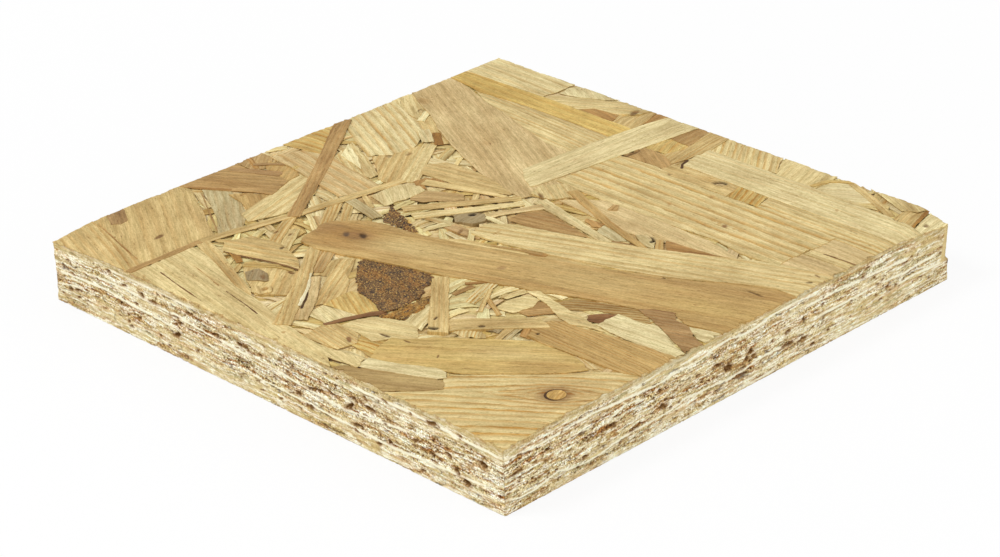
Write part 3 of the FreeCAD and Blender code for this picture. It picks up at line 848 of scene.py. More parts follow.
    ("rust", None, (1.5, 0.1), strip([(25.4, 48.4), (31, 55.2)], 2.4, 2.2), dict(thick=0.1, under=0.25)),
    ("bright", 66, (2.35, 0.42), [(19, 80), (38.4, 80), (34.6, 71), (30, 60), (27, 56), (20, 52),
     (12, 52.6), (7.4, 57), (11.6, 66)], dict(ridge=0.22, mesh=0.6, splinter=1.4)),
    ("pale", None, (1.5, 0.25), strip([(3.4, 37), (24.4, 50.6)], 5.2, 3.6), {}),
    ("cream", None, (1.4, 0.2), strip([(33, 63.4), (39.4, 67)], 2.2, 2.0), {}),
    ("pale", 55, (1.8, 0.2), [(33.4, 64), (40, 66), (46, 78), (44, 80), (38, 80), (34.6, 71)], {}),
    ("tan", 58, (2.2, 0.15), [(28, 56), (33, 64.4), (39.4, 66.4), (33.6, 57), (28, 47), (24.6, 51)], {}),
    ("cream", 60, (1.5, 0.1), [(3, 62.6), (9.6, 67), (6, 60), (2, 54), (0.4, 52)], {}),
    ("pale", 62, (1.6, 0.3), [(-1.4, 55), (2, 64), (11, 67), (7, 57), (1, 46), (-1.8, 46)], {}),
    ("tan", 35, (1.8, 0.3), [(-1, 44), (4, 50), (8, 56), (13, 53), (21, 52), (22, 50), (12, 43), (4, 38.6),
     (-1, 39.2)], {}),
    # back, left
    ("mauve", None, (0.9, 0.3), strip([(-22.8, 78), (-15.8, 65.4)], 2.4, 3.0), dict(thick=0.2)),
    ("nut", None, (1, 0.2), strip([(-37.6, 77.4), (-31, 67.6)], 1.0, 1.0), dict(thick=0.1)),
    ("umber", -60, (4, 0.08), [(-38.6, 80), (-19, 80), (-19.6, 74), (-17, 66), (-17.4, 61), (-22, 59),
     (-26, 57.4), (-28, 62), (-33, 69.4), (-37, 75.6)], dict(thick=0.45)),
    ("mauve", None, (1, 0.3), strip([(-16.6, 75.4), (-9.8, 69)], 1.4, 1.6), {}),
    ("nut", None, (1, 0.3), strip([(-14.4, 80), (-17.4, 73)], 1.6, 1.2), {}),
    ("brown", 30, (1.8, 0.2), [(-19, 66), (-15, 72.4), (-12, 74.6), (-9.8, 66), (-13, 61.4), (-17.6, 61)],
     {}),
    ("rose", 40, (1.2, 0.2), [(-18.6, 80), (-10, 80), (-10, 75), (-15, 71), (-19, 73)], {}),
    ("pale", 17, (2.3, 0.22), [(-39, 54.4), (-30, 57), (-20, 59.8), (-12.6, 63), (-12, 57), (-17, 50.4),
     (-25, 46), (-33, 47), (-41, 49.4)], {}),
    ("brown", 60, (1.5, 0.15), [(-33.4, 66), (-29.5, 63.2), (-26, 57.8), (-31, 56.6), (-36.4, 55),
     (-34.4, 60)], {}),
    ("grey", 56, (1.8, 0.22), [(-36, 73.6), (-31, 68.6), (-33, 62), (-38.4, 53), (-45, 47), (-50.6, 50),
     (-45, 57), (-40, 66)], {}),
    ("umber", None, (1, 0), strip([(-37.6, 71.6), (-44, 61), (-49.6, 51.4)], 0.35, 0.45), dict(thick=0.03)),
    ("mauve", 58, (1, 0), [(-65.6, 74), (-63.6, 72.4), (-61, 73), (-58.6, 77), (-57, 80), (-62.4, 80)],
     dict(thick=0.15)),
    ("tan", 70, (1.9, 0.28), [(-80, 80), (-67, 80), (-69, 72), (-72, 62), (-74.4, 50.6), (-80, 50.6)], {}),
    ("tan", 58, (3.4, 0.16), [(-67.4, 80), (-36.4, 80), (-38.4, 74), (-42, 68), (-45, 62), (-49, 56),
     (-51.6, 50.4), (-74.6, 50.4), (-72, 62), (-69, 72)], dict(thick=0.45)),
    # chips between the long brown strand and the left side
    ("slate", 40, (1.4, 0.2), [(-63.2, 24.5), (-60.6, 28.2), (-57, 27), (-57.4, 23.5), (-60, 20.2)], {}),
    ("rust", 60, (1, 0.3), [(-58.6, 33.8), (-56, 39.4), (-55.3, 36), (-57, 33)], dict(under=0.15)),
    ("shade", None, (2, 0), strip([(-56.4, 41), (-54.2, 32.4), (-52.2, 26), (-50.8, 19.4)], 0.4, 0.6),
     dict(thick=0.03)),
    ("tan", 112, (2.5, 0.25), [(-56.6, 41), (-53, 45), (-46, 42.6), (-44, 33), (-47, 24), (-50.6, 19),
     (-52, 27), (-54, 33)], {}),
    ("umber", 70, (1.5, 0.2), [(-49.6, 37), (-47.4, 41), (-46.4, 37.5), (-48, 35)], {}),
    ("gold", None, (1.1, 0.3), strip([(-58, 31.6), (-53, 25), (-51.6, 20.4)], 2.6, 1.4), {}),
    ("tan", 60, (1, 0.1), [(-66.6, 20), (-64, 21), (-61.6, 17), (-63.6, 15), (-66.4, 16.4)], {}),
    ("tan", 35, (2.4, 0.2), [(-67, 17), (-60, 9), (-50, 16.4), (-52, 22), (-55, 27), (-58, 32), (-63, 25)],
     {}),
    ("rose", None, (1.0, 0.4), strip([(-48.8, 15.4), (-37.2, 22.8)], 3.6, 4.0), dict(ridge=0.15, mesh=0.5)),
    ("grey", None, (0.9, 0.3), strip([(-17, 27), (-15.4, 36), (-13.2, 45.6)], 3.4, 3.0), dict(thick=0.3)),
    ("tan", None, (1.0, 0.4), strip([(-49.6, 32.6), (-28, 46)], 3.4, 3.0), dict(thick=0.4)),
    ("pale", None, (1.5, 0.2), strip([(-50.6, 27.6), (-36, 37.6)], 3.2, 3.0), {}),
    ("tan", None, (1.1, 0.45), strip([(-30.4, 32.4), (-16.8, 42.8)], 3.4, 3.8), {}),
    ("tan", None, (1.2, 0.3), strip([(-26, 30.4), (-14.8, 39.8)], 2.6, 2.6), {}),
    ("tan", None, (1, 0.3), strip([(-14, 32.6), (-9.4, 41)], 1.4, 1.4), {}),
    ("tan", 30, (1.4, 0.3), [(-62, 3), (-52, 9), (-46, 14), (-43, 12), (-47, 5), (-52, 1), (-58, 0)], {}),
    ("tan", 30, (1.4, 0.3), [(-50, 15), (-44, 19), (-37, 14), (-40, 11.4), (-46, 7)], {}),
]

# Bark flakes, in a material of their own
BARK = [
    ("bark", 60, (3, 0), [(-35.2, 13.2), (-33.2, 6), (-31.2, 0), (-30, -6), (-31.4, -8.6), (-36, -10),
     (-39, -12.4), (-42, -13.6), (-48, -13.6), (-52.4, -13), (-52, -10), (-50, -5), (-49, 0), (-46, 4.2),
     (-42, 8), (-38, 12)], dict(thick=0.8, splinter=0.9, mesh=0.5)),
    ("rust", 10, (3, 0), [(-54.6, -13), (-50, -14), (-44, -14.2), (-39.5, -13.8), (-37.6, -15.3),
     (-41, -17), (-45, -18.4), (-49, -19.4), (-53, -18.6)], dict(thick=0.8, splinter=1.2, mesh=0.5)),
    ("bark", 55, (3, 0), [(-9.4, 30.2), (-11, 25), (-13.4, 20), (-15.8, 13.2), (-17.4, 14), (-17.4, 20),
     (-18, 24), (-14, 27), (-11, 29)], dict(thick=0.8, splinter=0.8, mesh=0.5)),
]

# The bark flakes come into the pile just after the strands that lie over them
BARK_AFTER = 27

upper_groups = [Group("strands_upper_" + letter, "strand", "wood_strands") for letter in "abcd"]
under_groups = [Group("strands_under_" + letter, "strand", "wood_strands") for letter in "ab"]
bark_group = Group("bark_flakes", "bark", "bark")
upper = Face(WORN, 11, True)
lower = Face([(x, y, rx * 0.4, ry * 0.5, d * 0.25) for x, y, rx, ry, d in WORN], 17, False)


def lightest(holders):
    return min(holders, key=lambda holder: holder.count)


def upper_face():
    """The placed strands, with the bark flakes in among them."""
    for number, (tone, angle, rings, outline, options) in enumerate(STRANDS):
        if number == BARK_AFTER:
            for flake_tone, flake_angle, flake_rings, flake_outline, flake_options in BARK:
                lay(upper, bark_group, flake_tone, flake_outline, flake_angle, flake_rings, **flake_options)
        lay(upper, lightest(upper_groups), tone, outline, angle, rings, **options)


def fill(face, holders, sizes, seed, mesh=1.5):
    """Covers what still shows of the inside with strands at random, a few sizes in turn."""
    pick = np.random.default_rng(seed)
    kinds = ["pale", "tan", "bright", "pink", "cream", "gold", "bright", "cream", "pale", "pale", "bright"]
    on_board = (np.abs(GX) < HALF - 0.6) & (np.abs(GY) < HALF - 0.6)
    for low_len, high_len, low_w, high_w, count in sizes:
        for _ in range(count):
            open_cells = np.argwhere((face.seen < 0) & on_board)
            if len(open_cells) < 3:
                return
            i, j = open_cells[pick.integers(len(open_cells))]
            length = low_len + (high_len - low_len) * pick.random()
            width = low_w + (high_w - low_w) * pick.random()
            turn = pick.random() * math.pi
            d = np.array((math.cos(turn), math.sin(turn))) * length / 2
            centre = np.array((GX[i, j], GY[i, j])) + (pick.random(2) - 0.5) * width * 0.4
            path = [centre - d, centre + (pick.random(2) - 0.5) * width * 0.2, centre + d]
            tone = kinds[pick.integers(len(kinds))]
            far_width = width * (0.6 + 0.4 * pick.random())
            outline = strip(path, width, far_width, width * (pick.random() - 0.5) * 0.6)
            rings = (0.9 + 2.4 * pick.random(), 0.1 + 0.4 * pick.random())
            lay(face, lightest(holders), tone, outline, None, rings, jitter=0.1, thick=0.28, mesh=mesh,
                under=0.03 + 0.12 * pick.random())


def underside(seed):
    """The face that the board lies on: broad strands at random over smaller ones."""
    pick = np.random.default_rng(seed)
    kinds = ["pale", "tan", "bright", "pink", "gold", "brown", "umber", "tan", "pale", "drab"]
    for k in range(70):
        length, width = 45 + 70 * pick.random(), 9 + 16 * pick.random()
        turn = math.radians(90 + 50 * pick.standard_normal())
        centre = (pick.random(2) - 0.5) * 2 * HALF
        d = np.array((math.cos(turn), math.sin(turn))) * length / 2
        tone = kinds[pick.integers(len(kinds))]
        path = [centre - d, centre + (pick.random(2) - 0.5) * 3, centre + d]
        far_width = width * (0.7 + 0.3 * pick.random())
        outline = strip(path, width, far_width, width * (pick.random() - 0.5) * 0.5)
        rings = (1.4 + 3 * pick.random(), 0.08 + 0.3 * pick.random())
        lay(lower, under_groups[k % 2], tone, outline, None, rings, jitter=0.1, mesh=2.4, splinter=1.2)
    fill(lower, under_groups, [(10, 34, 3, 10, 90), (20, 50, 8, 16, 60)], seed + 1, 2.4)


upper_face()
fill(upper, upper_groups, [(5, 14, 1.4, 4.0, 150), (12, 34, 5, 12, 110), (20, 50, 9, 16, 60)], 5)
underside(60)


# ---------------------------------------------------------------- materials

def nodes_of(name):
    material = bpy.data.materials.new(name)
    material.use_nodes = True
    tree = material.node_tree
    tree.nodes.clear()
    return material, tree


class Graph:
    """Short calls for wiring shader nodes."""

    def __init__(self, tree):
        self.tree = tree

    def new(self, kind, **settings):
        node = self.tree.nodes.new(kind)
        for key, value in settings.items():
            setattr(node, key, value)
        return node

    def put(self, socket, value):
        if isinstance(value, bpy.types.NodeSocket):
            self.tree.links.new(value, socket)
        else:
            socket.default_value = value

    def math(self, kind, a, b=0.0, c=0.0, clamp=False):
        node = self.new("ShaderNodeMath", operation=kind, use_clamp=clamp)
        for socket, value in zip(node.inputs, (a, b, c)):
            self.put(socket, value)
        return node.outputs[0]

    def add(self, a, b):
        return self.math("ADD", a, b)

    def subtract(self, a, b):
        return self.math("SUBTRACT", a, b)

    def multiply(self, a, b, clamp=False):
        return self.math("MULTIPLY", a, b, clamp=clamp)

    def swing(self, field, amount):
        """How far a noise is from its middle, times an amount."""
        return self.multiply(self.subtract(field, 0.5), amount)

    def attribute(self, name):
        return self.new("ShaderNodeAttribute", attribute_name=name)

    def split(self, vector):
        node = self.new("ShaderNodeSeparateXYZ")
        self.put(node.inputs[0], vector)
        return node.outputs

    def join(self, x, y, z):
        node = self.new("ShaderNodeCombineXYZ")
        for socket, value in zip(node.inputs, (x, y, z)):
            self.put(socket, value)
        return node.outputs[0]

    def noise(self, vector, scale=1.0, detail=2.0, rough=0.5):
        node = self.new("ShaderNodeTexNoise")
        self.put(node.inputs["Vector"], vector)
        node.inputs["Scale"].default_value = scale
        node.inputs["Detail"].default_value = detail
        node.inputs["Roughness"].default_value = rough
        return node.outputs["Fac"]

    def stretched(self, along, across, seed, per_along, per_across, detail, rough):
        """Noise with its own pitch along the grain and across it."""
        where = self.join(self.multiply(along, per_along), self.multiply(across, per_across), seed)
        return self.noise(where, 1.0, detail, rough)

    def span(self, value, a, b, c=0.0, d=1.0):
        """Smoothly maps a..b to c..d."""
        node = self.new("ShaderNodeMapRange", interpolation_type="SMOOTHSTEP")
        for socket, v in zip(node.inputs, (value, a, b, c, d)):
            self.put(socket, v)
        return node.outputs[0]

    def mix(self, factor, a, b, kind="MIX"):
        node = self.new("ShaderNodeMix", data_type="RGBA", blend_type=kind)
        self.put(node.inputs["Factor"], factor)
        self.put(node.inputs[6], a)
        self.put(node.inputs[7], b)
        return node.outputs[2]

    def tint(self, colour, by):
        return self.mix(1.0, colour, by + (1.0,), "MULTIPLY")

    def shaded(self, colour, shade, red, blue):
        """Colour times a shade that turns warmer as it gets darker."""
        by = self.join(self.math("POWER", shade, red), shade, self.math("POWER", shade, blue))
        return self.mix(1.0, colour, by, "MULTIPLY")

    def finish(self, colour, roughness, height, bump, distance):
        shader = self.new("ShaderNodeBsdfPrincipled")
        self.put(shader.inputs["Base Color"], colour)
        self.put(shader.inputs["Roughness"], roughness)
        shader.inputs["Specular IOR Level"].default_value = 0.22
        node = self.new("ShaderNodeBump")
        node.inputs["Strength"].default_value = bump
        node.inputs["Distance"].default_value = distance
        self.put(node.inputs["Height"], height)
        self.put(shader.inputs["Normal"], node.outputs[0])
        out = self.new("ShaderNodeOutputMaterial")
        self.put(out.inputs["Surface"], shader.outputs[0])


def rgb(name):
    return tuple(linear(TONES[name])) + (1.0,)


def strand_material():
    material, tree = nodes_of("strand")
    g = Graph(tree)
    along, across, seed = g.split(g.attribute("grain").outputs["Vector"])
    number, contrast, fibre = g.split(g.attribute("figure").outputs["Vector"])
    tone = g.attribute("tone").outputs["Color"]

    def texture(per_along, per_across, detail=2.0, rough=0.55):
        return g.stretched(along, across, seed, per_along, per_across, detail, rough)

    streak = texture(0.05, 1.1, 3.0)
    fine = texture(0.30, 2.7, 3.0)
    speck = texture(1.7, 2.6, 3.0, 0.65)
    cloud = texture(0.11, 0.3)
    dash = texture(0.55, 3.0, 1.0)
    cross = texture(1.3, 0.12)
    # growth rings: each year ends in a dark line of late wood
    shifted = g.add(number, g.swing(fine, 0.5))
    saw = g.math("FRACT", shifted)
    year = g.noise(g.join(g.multiply(g.math("FLOOR", shifted), 3.71), seed, 0.0), 1.0, 0.0)
    late = g.subtract(g.span(saw, 0.30, 0.86), g.span(saw, 0.88, 1.0))
    late = g.multiply(late, g.span(cloud, 0.25, 0.6, 0.45, 1.0))
    late = g.multiply(late, g.span(year, 0.3, 0.7, 0.55, 1.25))
    late = g.multiply(late, g.multiply(contrast, 1.7), clamp=True)
    colour = g.mix(late, tone, g.tint(tone, (0.78, 0.54, 0.26)))
    shade = g.span(streak, 0.3, 0.7, 0.90, 1.18)
    for field, amount in ((fine, 0.95), (speck, 0.80), (cross, 0.08)):
        shade = g.add(shade, g.swing(field, amount))
    colour = g.shaded(colour, shade, 0.92, 1.4)
    pores = g.multiply(g.span(dash, 0.65, 0.73), g.span(cloud, 0.35, 0.65, 0.3, 1.0))
    pores = g.multiply(pores, g.multiply(fibre, 0.7), clamp=True)
    colour = g.mix(pores, colour, g.tint(colour, (0.44, 0.29, 0.15)))
    height = g.add(g.multiply(fine, 0.7), g.multiply(speck, 0.5))
    height = g.subtract(height, g.multiply(late, 0.4))
    height = g.subtract(height, g.multiply(pores, 0.5))
    g.finish(colour, g.span(streak, 0.2, 0.8, 0.55, 0.70), height, 0.8, 0.00018)
    return material


def bark_material():
    material, tree = nodes_of("bark")
    g = Graph(tree)
    along, across, seed = g.split(g.attribute("grain").outputs["Vector"])
    tone = g.attribute("tone").outputs["Color"]

    def texture(per_along, per_across, shift=0.0):
        return g.stretched(along, across, g.add(seed, shift), per_along, per_across, 3.0, 0.65)

    plates = texture(0.3, 0.6)
    crumbs = texture(1.3, 1.9)
    glints = texture(1.6, 2.2, 20.0)
    stains = texture(0.45, 0.7, 40.0)
    patches = texture(0.16, 0.24, 60.0)
    cool, warm = g.tint(tone, (0.78, 0.86, 1.06)), g.tint(tone, (1.12, 1.06, 0.92))
    tone = g.mix(g.span(patches, 0.42, 0.58), cool, warm)
    colour = g.mix(g.span(plates, 0.40, 0.65), tone, g.tint(tone, (1.5, 1.42, 1.25)))
    colour = g.mix(g.span(crumbs, 0.52, 0.38), colour, g.tint(colour, (0.34, 0.32, 0.34)))
    colour = g.mix(g.span(stains, 0.54, 0.62, 0.0, 0.75), colour, rgb("ink"))
    colour = g.mix(g.span(glints, 0.54, 0.62, 0.0, 0.95), colour, rgb("orange"))
    g.finish(colour, g.span(crumbs, 0.2, 0.8, 0.6, 0.85), crumbs, 0.9, 0.0006)
    return material


def edge_material():
    material, tree = nodes_of("sawn_edge")
    g = Graph(tree)
    along, height_mm, seed = g.split(g.attribute("grain").outputs["Vector"])
    grainy, calm, _ = g.split(g.attribute("figure").outputs["Vector"])
    tone = g.attribute("tone").outputs["Color"]
    loud = g.subtract(1.0, g.multiply(calm, 0.85))

    def texture(per_along, per_height, shift=0.0):
        return g.stretched(along, height_mm, g.add(seed, shift), per_along, per_height, 3.0, 0.6)

    fibres = texture(0.55, 3.2)
    grains = texture(2.3, 2.7, 10.0)
    holes = texture(1.6, 2.1, 30.0)
    long_grain = g.multiply(g.subtract(fibres, 0.5), g.subtract(1.5, g.multiply(grainy, 0.9)))
    end_grain = g.multiply(g.subtract(grains, 0.5), g.add(0.9, g.multiply(grainy, 5.2)))
    shade = g.multiply(g.add(long_grain, end_grain), loud)
    shade = g.math("MAXIMUM", g.add(shade, 1.08), 0.12)
    colour = g.shaded(tone, shade, 0.75, 1.6)
    dots = g.multiply(g.span(holes, 0.44, 0.385), g.add(0.1, grainy))
    dots = g.multiply(dots, loud)
    colour = g.mix(dots, colour, g.tint(colour, (0.26, 0.13, 0.05)))
    relief = g.add(g.multiply(fibres, 0.6), grains)
    relief = g.subtract(relief, g.multiply(dots, 0.6))
    g.finish(colour, 0.8, relief, 0.9, 0.00035)
    return material


def painted_shade_core_material():
    material, tree = nodes_of("core")
    g = Graph(tree)
    where = g.new("ShaderNodeTexCoord").outputs["Object"]
    spots = g.noise(where, 900.0, 3.0, 0.6)
    # dark brown spots: painted shade for the inside seen at the bottom of gaps
    colour = g.mix(g.span(spots, 0.35, 0.65), rgb("dark"), rgb("shade"))
    g.finish(colour, 0.85, spots, 0.5, 0.0004)
    return material


MATERIALS = {"strand": strand_material(), "bark": bark_material(), "sawn_edge": edge_material(),
             "core": painted_shade_core_material()}


# ---------------------------------------------------------------- meshes

def pack(group):
    """Places every strand's chart in the unit square, in rows, by falling height."""
    boxes = []
    for uv, (total, m) in zip(group.uv, group.charts):
        flat = uv[:total + 2 * m]
        lo, hi = flat.min(0), flat.max(0)
        tall = hi[1] - lo[1] > hi[0] - lo[0]
        boxes.append((lo, hi, tall))
    margin = 0.5
    extent = [((hi - lo)[::-1] if tall else hi - lo) + 2 * margin for lo, hi, tall in boxes]
    width = max(math.sqrt(sum(e[0] * e[1] for e in extent)) * 1.03, max(e[0] for e in extent))
    while True:
        x = y = row = 0.0
        spots = {}
        for k in sorted(range(len(extent)), key=lambda k: -extent[k][1]):
            if x + extent[k][0] > width:
                x, y, row = 0.0, y + row, 0.0
            spots[k] = (x, y)
            x += extent[k][0]
            row = max(row, extent[k][1])
        if y + row <= width:
            break
        width *= 1.03
    scale = 0.985 / width
    for k, (uv, (total, m)) in enumerate(zip(group.uv, group.charts)):
        lo, hi, tall = boxes[k]
        local = uv - lo
        if tall:
            local = np.c_[local[:, 1], (hi - lo)[0] - local[:, 0]]
        local = (local + margin + np.array(spots[k])) * scale
        speck = np.linspace(0, 2 * math.pi, m, endpoint=False)
        local[total + 2 * m:] = 0.9925 + 0.004 * np.c_[np.cos(speck), np.sin(speck)]
        group.uv[k] = local


def make(name, co, tri, attributes, uv, material):
    """One shown piece: co in millimetres, a triangle list, named attributes and its bake map."""
    mesh = bpy.data.meshes.new(name)
    co, tri = np.asarray(co, np.float32) * MM, np.asarray(tri, np.int32)
    mesh.vertices.add(len(co))
    mesh.vertices.foreach_set("co", co.ravel())
    mesh.loops.add(tri.size)
    mesh.loops.foreach_set("vertex_index", tri.ravel())
    mesh.polygons.add(len(tri))
    mesh.polygons.foreach_set("loop_start", np.arange(0, tri.size, 3, dtype=np.int32))
    mesh.update(calc_edges=True)
    for key, kind, values in attributes:
        attribute = mesh.attributes.new(key, kind, "POINT")
        field = "color" if kind == "FLOAT_COLOR" else "vector"
        attribute.data.foreach_set(field, np.asarray(values, np.float32).ravel())
    if uv is not None:
        layer = mesh.uv_layers.new(name="OFBake")
        layer.uv.foreach_set("vector", np.asarray(uv, np.float32)[tri.ravel()].ravel())
    mesh.polygons.foreach_set("use_smooth", np.ones(len(tri), bool))
    mesh.materials.append(MATERIALS[material])
    mesh.validate()
    piece = bpy.data.objects.new(name, mesh)
    bpy.context.scene.collection.objects.link(piece)
    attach(piece, "root")
    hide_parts("osb_board")
    return piece


def rgba(values):
    return np.c_[np.clip(values, 0.004, 0.92), np.ones(len(values))]


for group in upper_groups + under_groups + [bark_group]:
    pack(group)
    make(group.name, np.concatenate(group.co), np.concatenate(group.tri),
         [("grain", "FLOAT_VECTOR", np.concatenate(group.grain)),
          ("figure", "FLOAT_VECTOR", np.concatenate(group.figure)),
          ("tone", "FLOAT_COLOR", rgba(np.concatenate(group.tone)))],
         np.concatenate(group.uv), group.material)


# ---------------------------------------------------------------- sawn edges

EDGE_TONES = {
    "base": (211, 189, 130), "long": (224, 205, 154), "white": (250, 239, 206), "rosy": (214, 182, 134),
    "grain": (198, 166, 102), "brown": (168, 120, 62), "dull": (186, 173, 126), "gap": (76, 42, 18),
    "pit": (28, 13, 4), "torn": (216, 190, 130),
}

# Bright seams: paths of (along, height from the upper face)
SEAMS = {
    "front": [
        [(-80, -3.6), (-70, -4.2), (-60, -3.8), (-52, -3.3), (-45, -3.8), (-35, -4.3), (-29, -4.8),
         (-24, -4.0), (-15, -4.0), (-10, -2.8), (-5, -2.5), (0, -3.2), (5, -3.0), (10, -2.0),
         (20, -1.8), (28, -2.6)],
        [(-40, -2.7), (-33, -2.2), (-28, -1.5), (-24, -1.0), (-18, -1.4)],
        [(-80, -13.8), (-75, -15), (-70, -14.8), (-63, -13.4), (-57, -14.8), (-50, -15), (-45, -14),
         (-38, -13.3), (-32, -13.5), (-25, -13.2), (-20, -12), (-12, -12.5), (-5, -13), (0, -12.8),
         (5, -12), (12, -12), (20, -12.2), (27, -12.8)],
        [(-48, -7.4), (-45, -7), (-41, -5.6), (-36, -6.2), (-33, -7)],
        [(0, -17), (8, -17.3), (13, -16.9)],
        [(28, -8.6), (40, -9), (52, -8.8), (62, -9.4), (76, -8.6)],
        [(56, -11.6), (66, -11.4), (78, -12)],
        [(22, -4.6), (34, -4.5), (50, -5.2), (64, -6)],
    ],
    "left": [
        [(-80, -3.4), (-66, -3), (-50, -2.4), (-40, -2.8), (-30, -2.6)],
        [(-50, -7.6), (-40, -8.8), (-28, -9.8), (-14, -9), (-4, -8)],
        [(-74, -12.4), (-60, -13), (-44, -14), (-24, -13.2), (-8, -12.8), (6, -12.4)],
        [(4, -7.8), (20, -7), (36, -6), (52, -5.4), (66, -6)],
        [(24, -2), (40, -1.6), (58, -2.2)],
        [(30, -9.8), (46, -9.2), (60, -8.2), (78, -9)],
        [(68, -11), (74, -11.8), (79, -12.8)],
    ],
}
# Dark hollows: along, height from the upper face, half length, half height, angle
PITS = {
    "front": [
        (3, -8.7, 1.0, 0.6, 0), (-28, -11, 1.6, 0.6, 0), (-46, -9, 3, 0.35, 6), (-38, -13, 1.8, 0.3, 4),
        (17, -12.2, 2.6, 0.5, 0), (22, -12.8, 2.0, 0.4, 5), (45, -4.6, 1.0, 0.3, 0),
        (55, -10.8, 0.8, 0.4, 0), (47, -2.7, 1.2, 0.3, 5), (-5, -10, 1.6, 0.9, -20),
        (1.6, -10.2, 0.9, 0.5, 0), (68, -13, 1.4, 0.3, 0), (16.5, -8.8, 1.0, 0.4, 20),
        (-54, -13.6, 0.9, 0.4, 0), (-76, -8.4, 2.6, 0.3, 0), (-8.6, -8, 1.6, 0.35, -20),
        (26, -15.7, 0.9, 0.4, 20), (-29, -6.6, 0.9, 0.4, 0), (61.6, -6.8, 1.4, 0.3, 5),
        (0, -12.2, 1.4, 0.3, 10),
    ],
    "left": [
        (-73.4, -7.2, 1.3, 0.8, 25), (-68, -13.8, 1.5, 0.8, 20), (-57, -2.8, 2.0, 0.5, -8),
        (-42, -2.6, 1.2, 0.3, 8), (-62.4, -8.9, 1.0, 0.6, 20), (-57, -10.7, 1.4, 0.4, -10),
        (-52, -9.2, 1.4, 0.35, -8), (-43.4, -13, 1.0, 0.6, 0), (-39.4, -14.7, 1.1, 0.4, -10),
        (-37, -6.6, 2.4, 0.5, 10), (-31.6, -6, 1.4, 0.5, 30), (-30, -8.4, 1.8, 0.6, -30),
        (-24, -7.3, 2.0, 0.3, 15), (-18, -8.4, 3.2, 0.35, -12), (-12.2, -11.5, 1.0, 0.5, -20),
        (-6, -5.2, 0.7, 0.4, 20), (-32.5, -12.6, 2.0, 0.4, 0), (26.6, -3.9, 1.6, 0.4, -8),
        (32, -6.6, 1.5, 0.35, -5), (8.4, -5.8, 1.0, 0.5, 20), (18, -1.4, 1.3, 0.3, -20),
        (52, -4.6, 1.2, 0.35, -15), (57.6, -2.7, 0.9, 0.5, 0), (53.4, -10, 1.2, 0.4, 0),
        (71, -12.3, 1.6, 0.35, -8), (74, -13, 1.2, 0.4, -5), (32, -11.4, 1.6, 0.6, -25),
        (13, -0.4, 1.6, 0.4, 0), (45, -4.8, 1.2, 0.6, 20), (40.4, -5.5, 2.0, 0.35, 0),
        (-53.6, -16.2, 0.8, 0.4, -20), (-65, -12, 1.4, 0.5, 40), (30.5, -7.8, 1.2, 0.4, -20),
        (-16, -13.6, 1.6, 0.4, 0), (6, -6, 1.6, 0.4, 30), (17, -6.4, 1.4, 0.5, 10),
    ],
}


def section(s, z, seed, across):
    """Tone, graininess, recess and gaps of the sawn section, across being how much end grain there is."""
    bed = z + 2.0 * (fbm(s / 26, z / 8, seed) - 0.5) + 1.1 * (fbm(s / 8, z / 4, seed + 1) - 0.5)
    bed = bed + 0.35 * (fbm(s / 2.4, z / 1.5, seed + 2) - 0.5)

    def band(length, height, shift, a, b):
        return smooth(a, b, fbm(s / length, bed / height, seed + shift, 2))

    tone = np.tile(linear(EDGE_TONES["base"]), s.shape + (1,))
    grainy = np.clip(band(12, 1.5, 3, 0.38, 0.60) * 0.6 + 0.9 * (across - 0.2), 0, 1)
    tone = blend(tone, EDGE_TONES["grain"], 0.8 * grainy)
    for key, length, height, shift, a, b, most in (
            ("dull", 14, 0.9, 11, 0.56, 0.68, 0.8), ("rosy", 8, 0.6, 12, 0.54, 0.66, 0.85),
            ("long", 9, 0.7, 13, 0.48, 0.60, 0.9), ("brown", 4, 0.40, 14, 0.52, 0.64, 0.85),
            ("white", 6, 0.32, 15, 0.58, 0.68, 0.9), ("white", 2.4, 0.3, 16, 0.62, 0.72, 0.7)):
        k = band(length, height, shift, a, b) * most
        if key == "brown":
            k = k * (0.35 + grainy)
        tone = blend(tone, EDGE_TONES[key], k)
        if key in ("long", "white"):
            grainy = grainy * (1 - 0.6 * k)
    crumb = noise(s / 0.42, z / 0.33, seed + 17) - 0.5
    lump = noise(s / 1.1, bed / 0.45, seed + 18) - 0.5
    tone = tone * (1 + (0.2 + 0.8 * grainy) * 0.7 * crumb + 0.2 * lump)[..., None]
    recess = 0.05 + 0.34 * grainy * (crumb + 0.4) + 0.16 * (lump + 0.3)
    line = np.abs(fbm(s / 9, bed / 1.3, seed + 19, 2) - 0.5)
    gap = (1 - smooth(0.006, 0.022, line)) * smooth(0.46, 0.62, noise(s / 4.2, z / 1.7, seed + 20))
    return tone, grainy, np.clip(recess, 0.03, 0.6), gap


def corner_recess(z, seed):
    return 0.18 + 0.22 * noise(z / 1.3, 0.0, seed)


# The seed of each side's ends, shared by the sides that meet there
CORNERS = {("front", -1): 41, ("front", 1): 42, ("left", -1): 41, ("left", 1): 43,
           ("back", -1): 43, ("back", 1): 44, ("right", -1): 42, ("right", 1): 44}
SIDES = {  # the point (along, inward) of each side seen from above
    "front": lambda s, d: (s, -HALF + d),
    "left": lambda s, d: (-HALF + d, s),
    "back": lambda s, d: (s, HALF - d),
    "right": lambda s, d: (HALF - d, s),
}
LEDGE = 1.7  # how far the slab reaches in under the strands
SLAB_DEPTH = 3.0  # how thick the slab is behind its sawn face


def rim_height(face, x, y):
    """Height of the outermost strands near the board's edge, measured as if each face lay upward."""
    within = np.clip(np.arange(CELLS), int(3.0 / CELL), CELLS - 1 - int(3.0 / CELL))
    seen = face.seen[within][:, within]
    seen = np.where(seen < 0, THICK - 0.5, seen)
    return sample(blur(erode(seen, 1), 1), x, y)


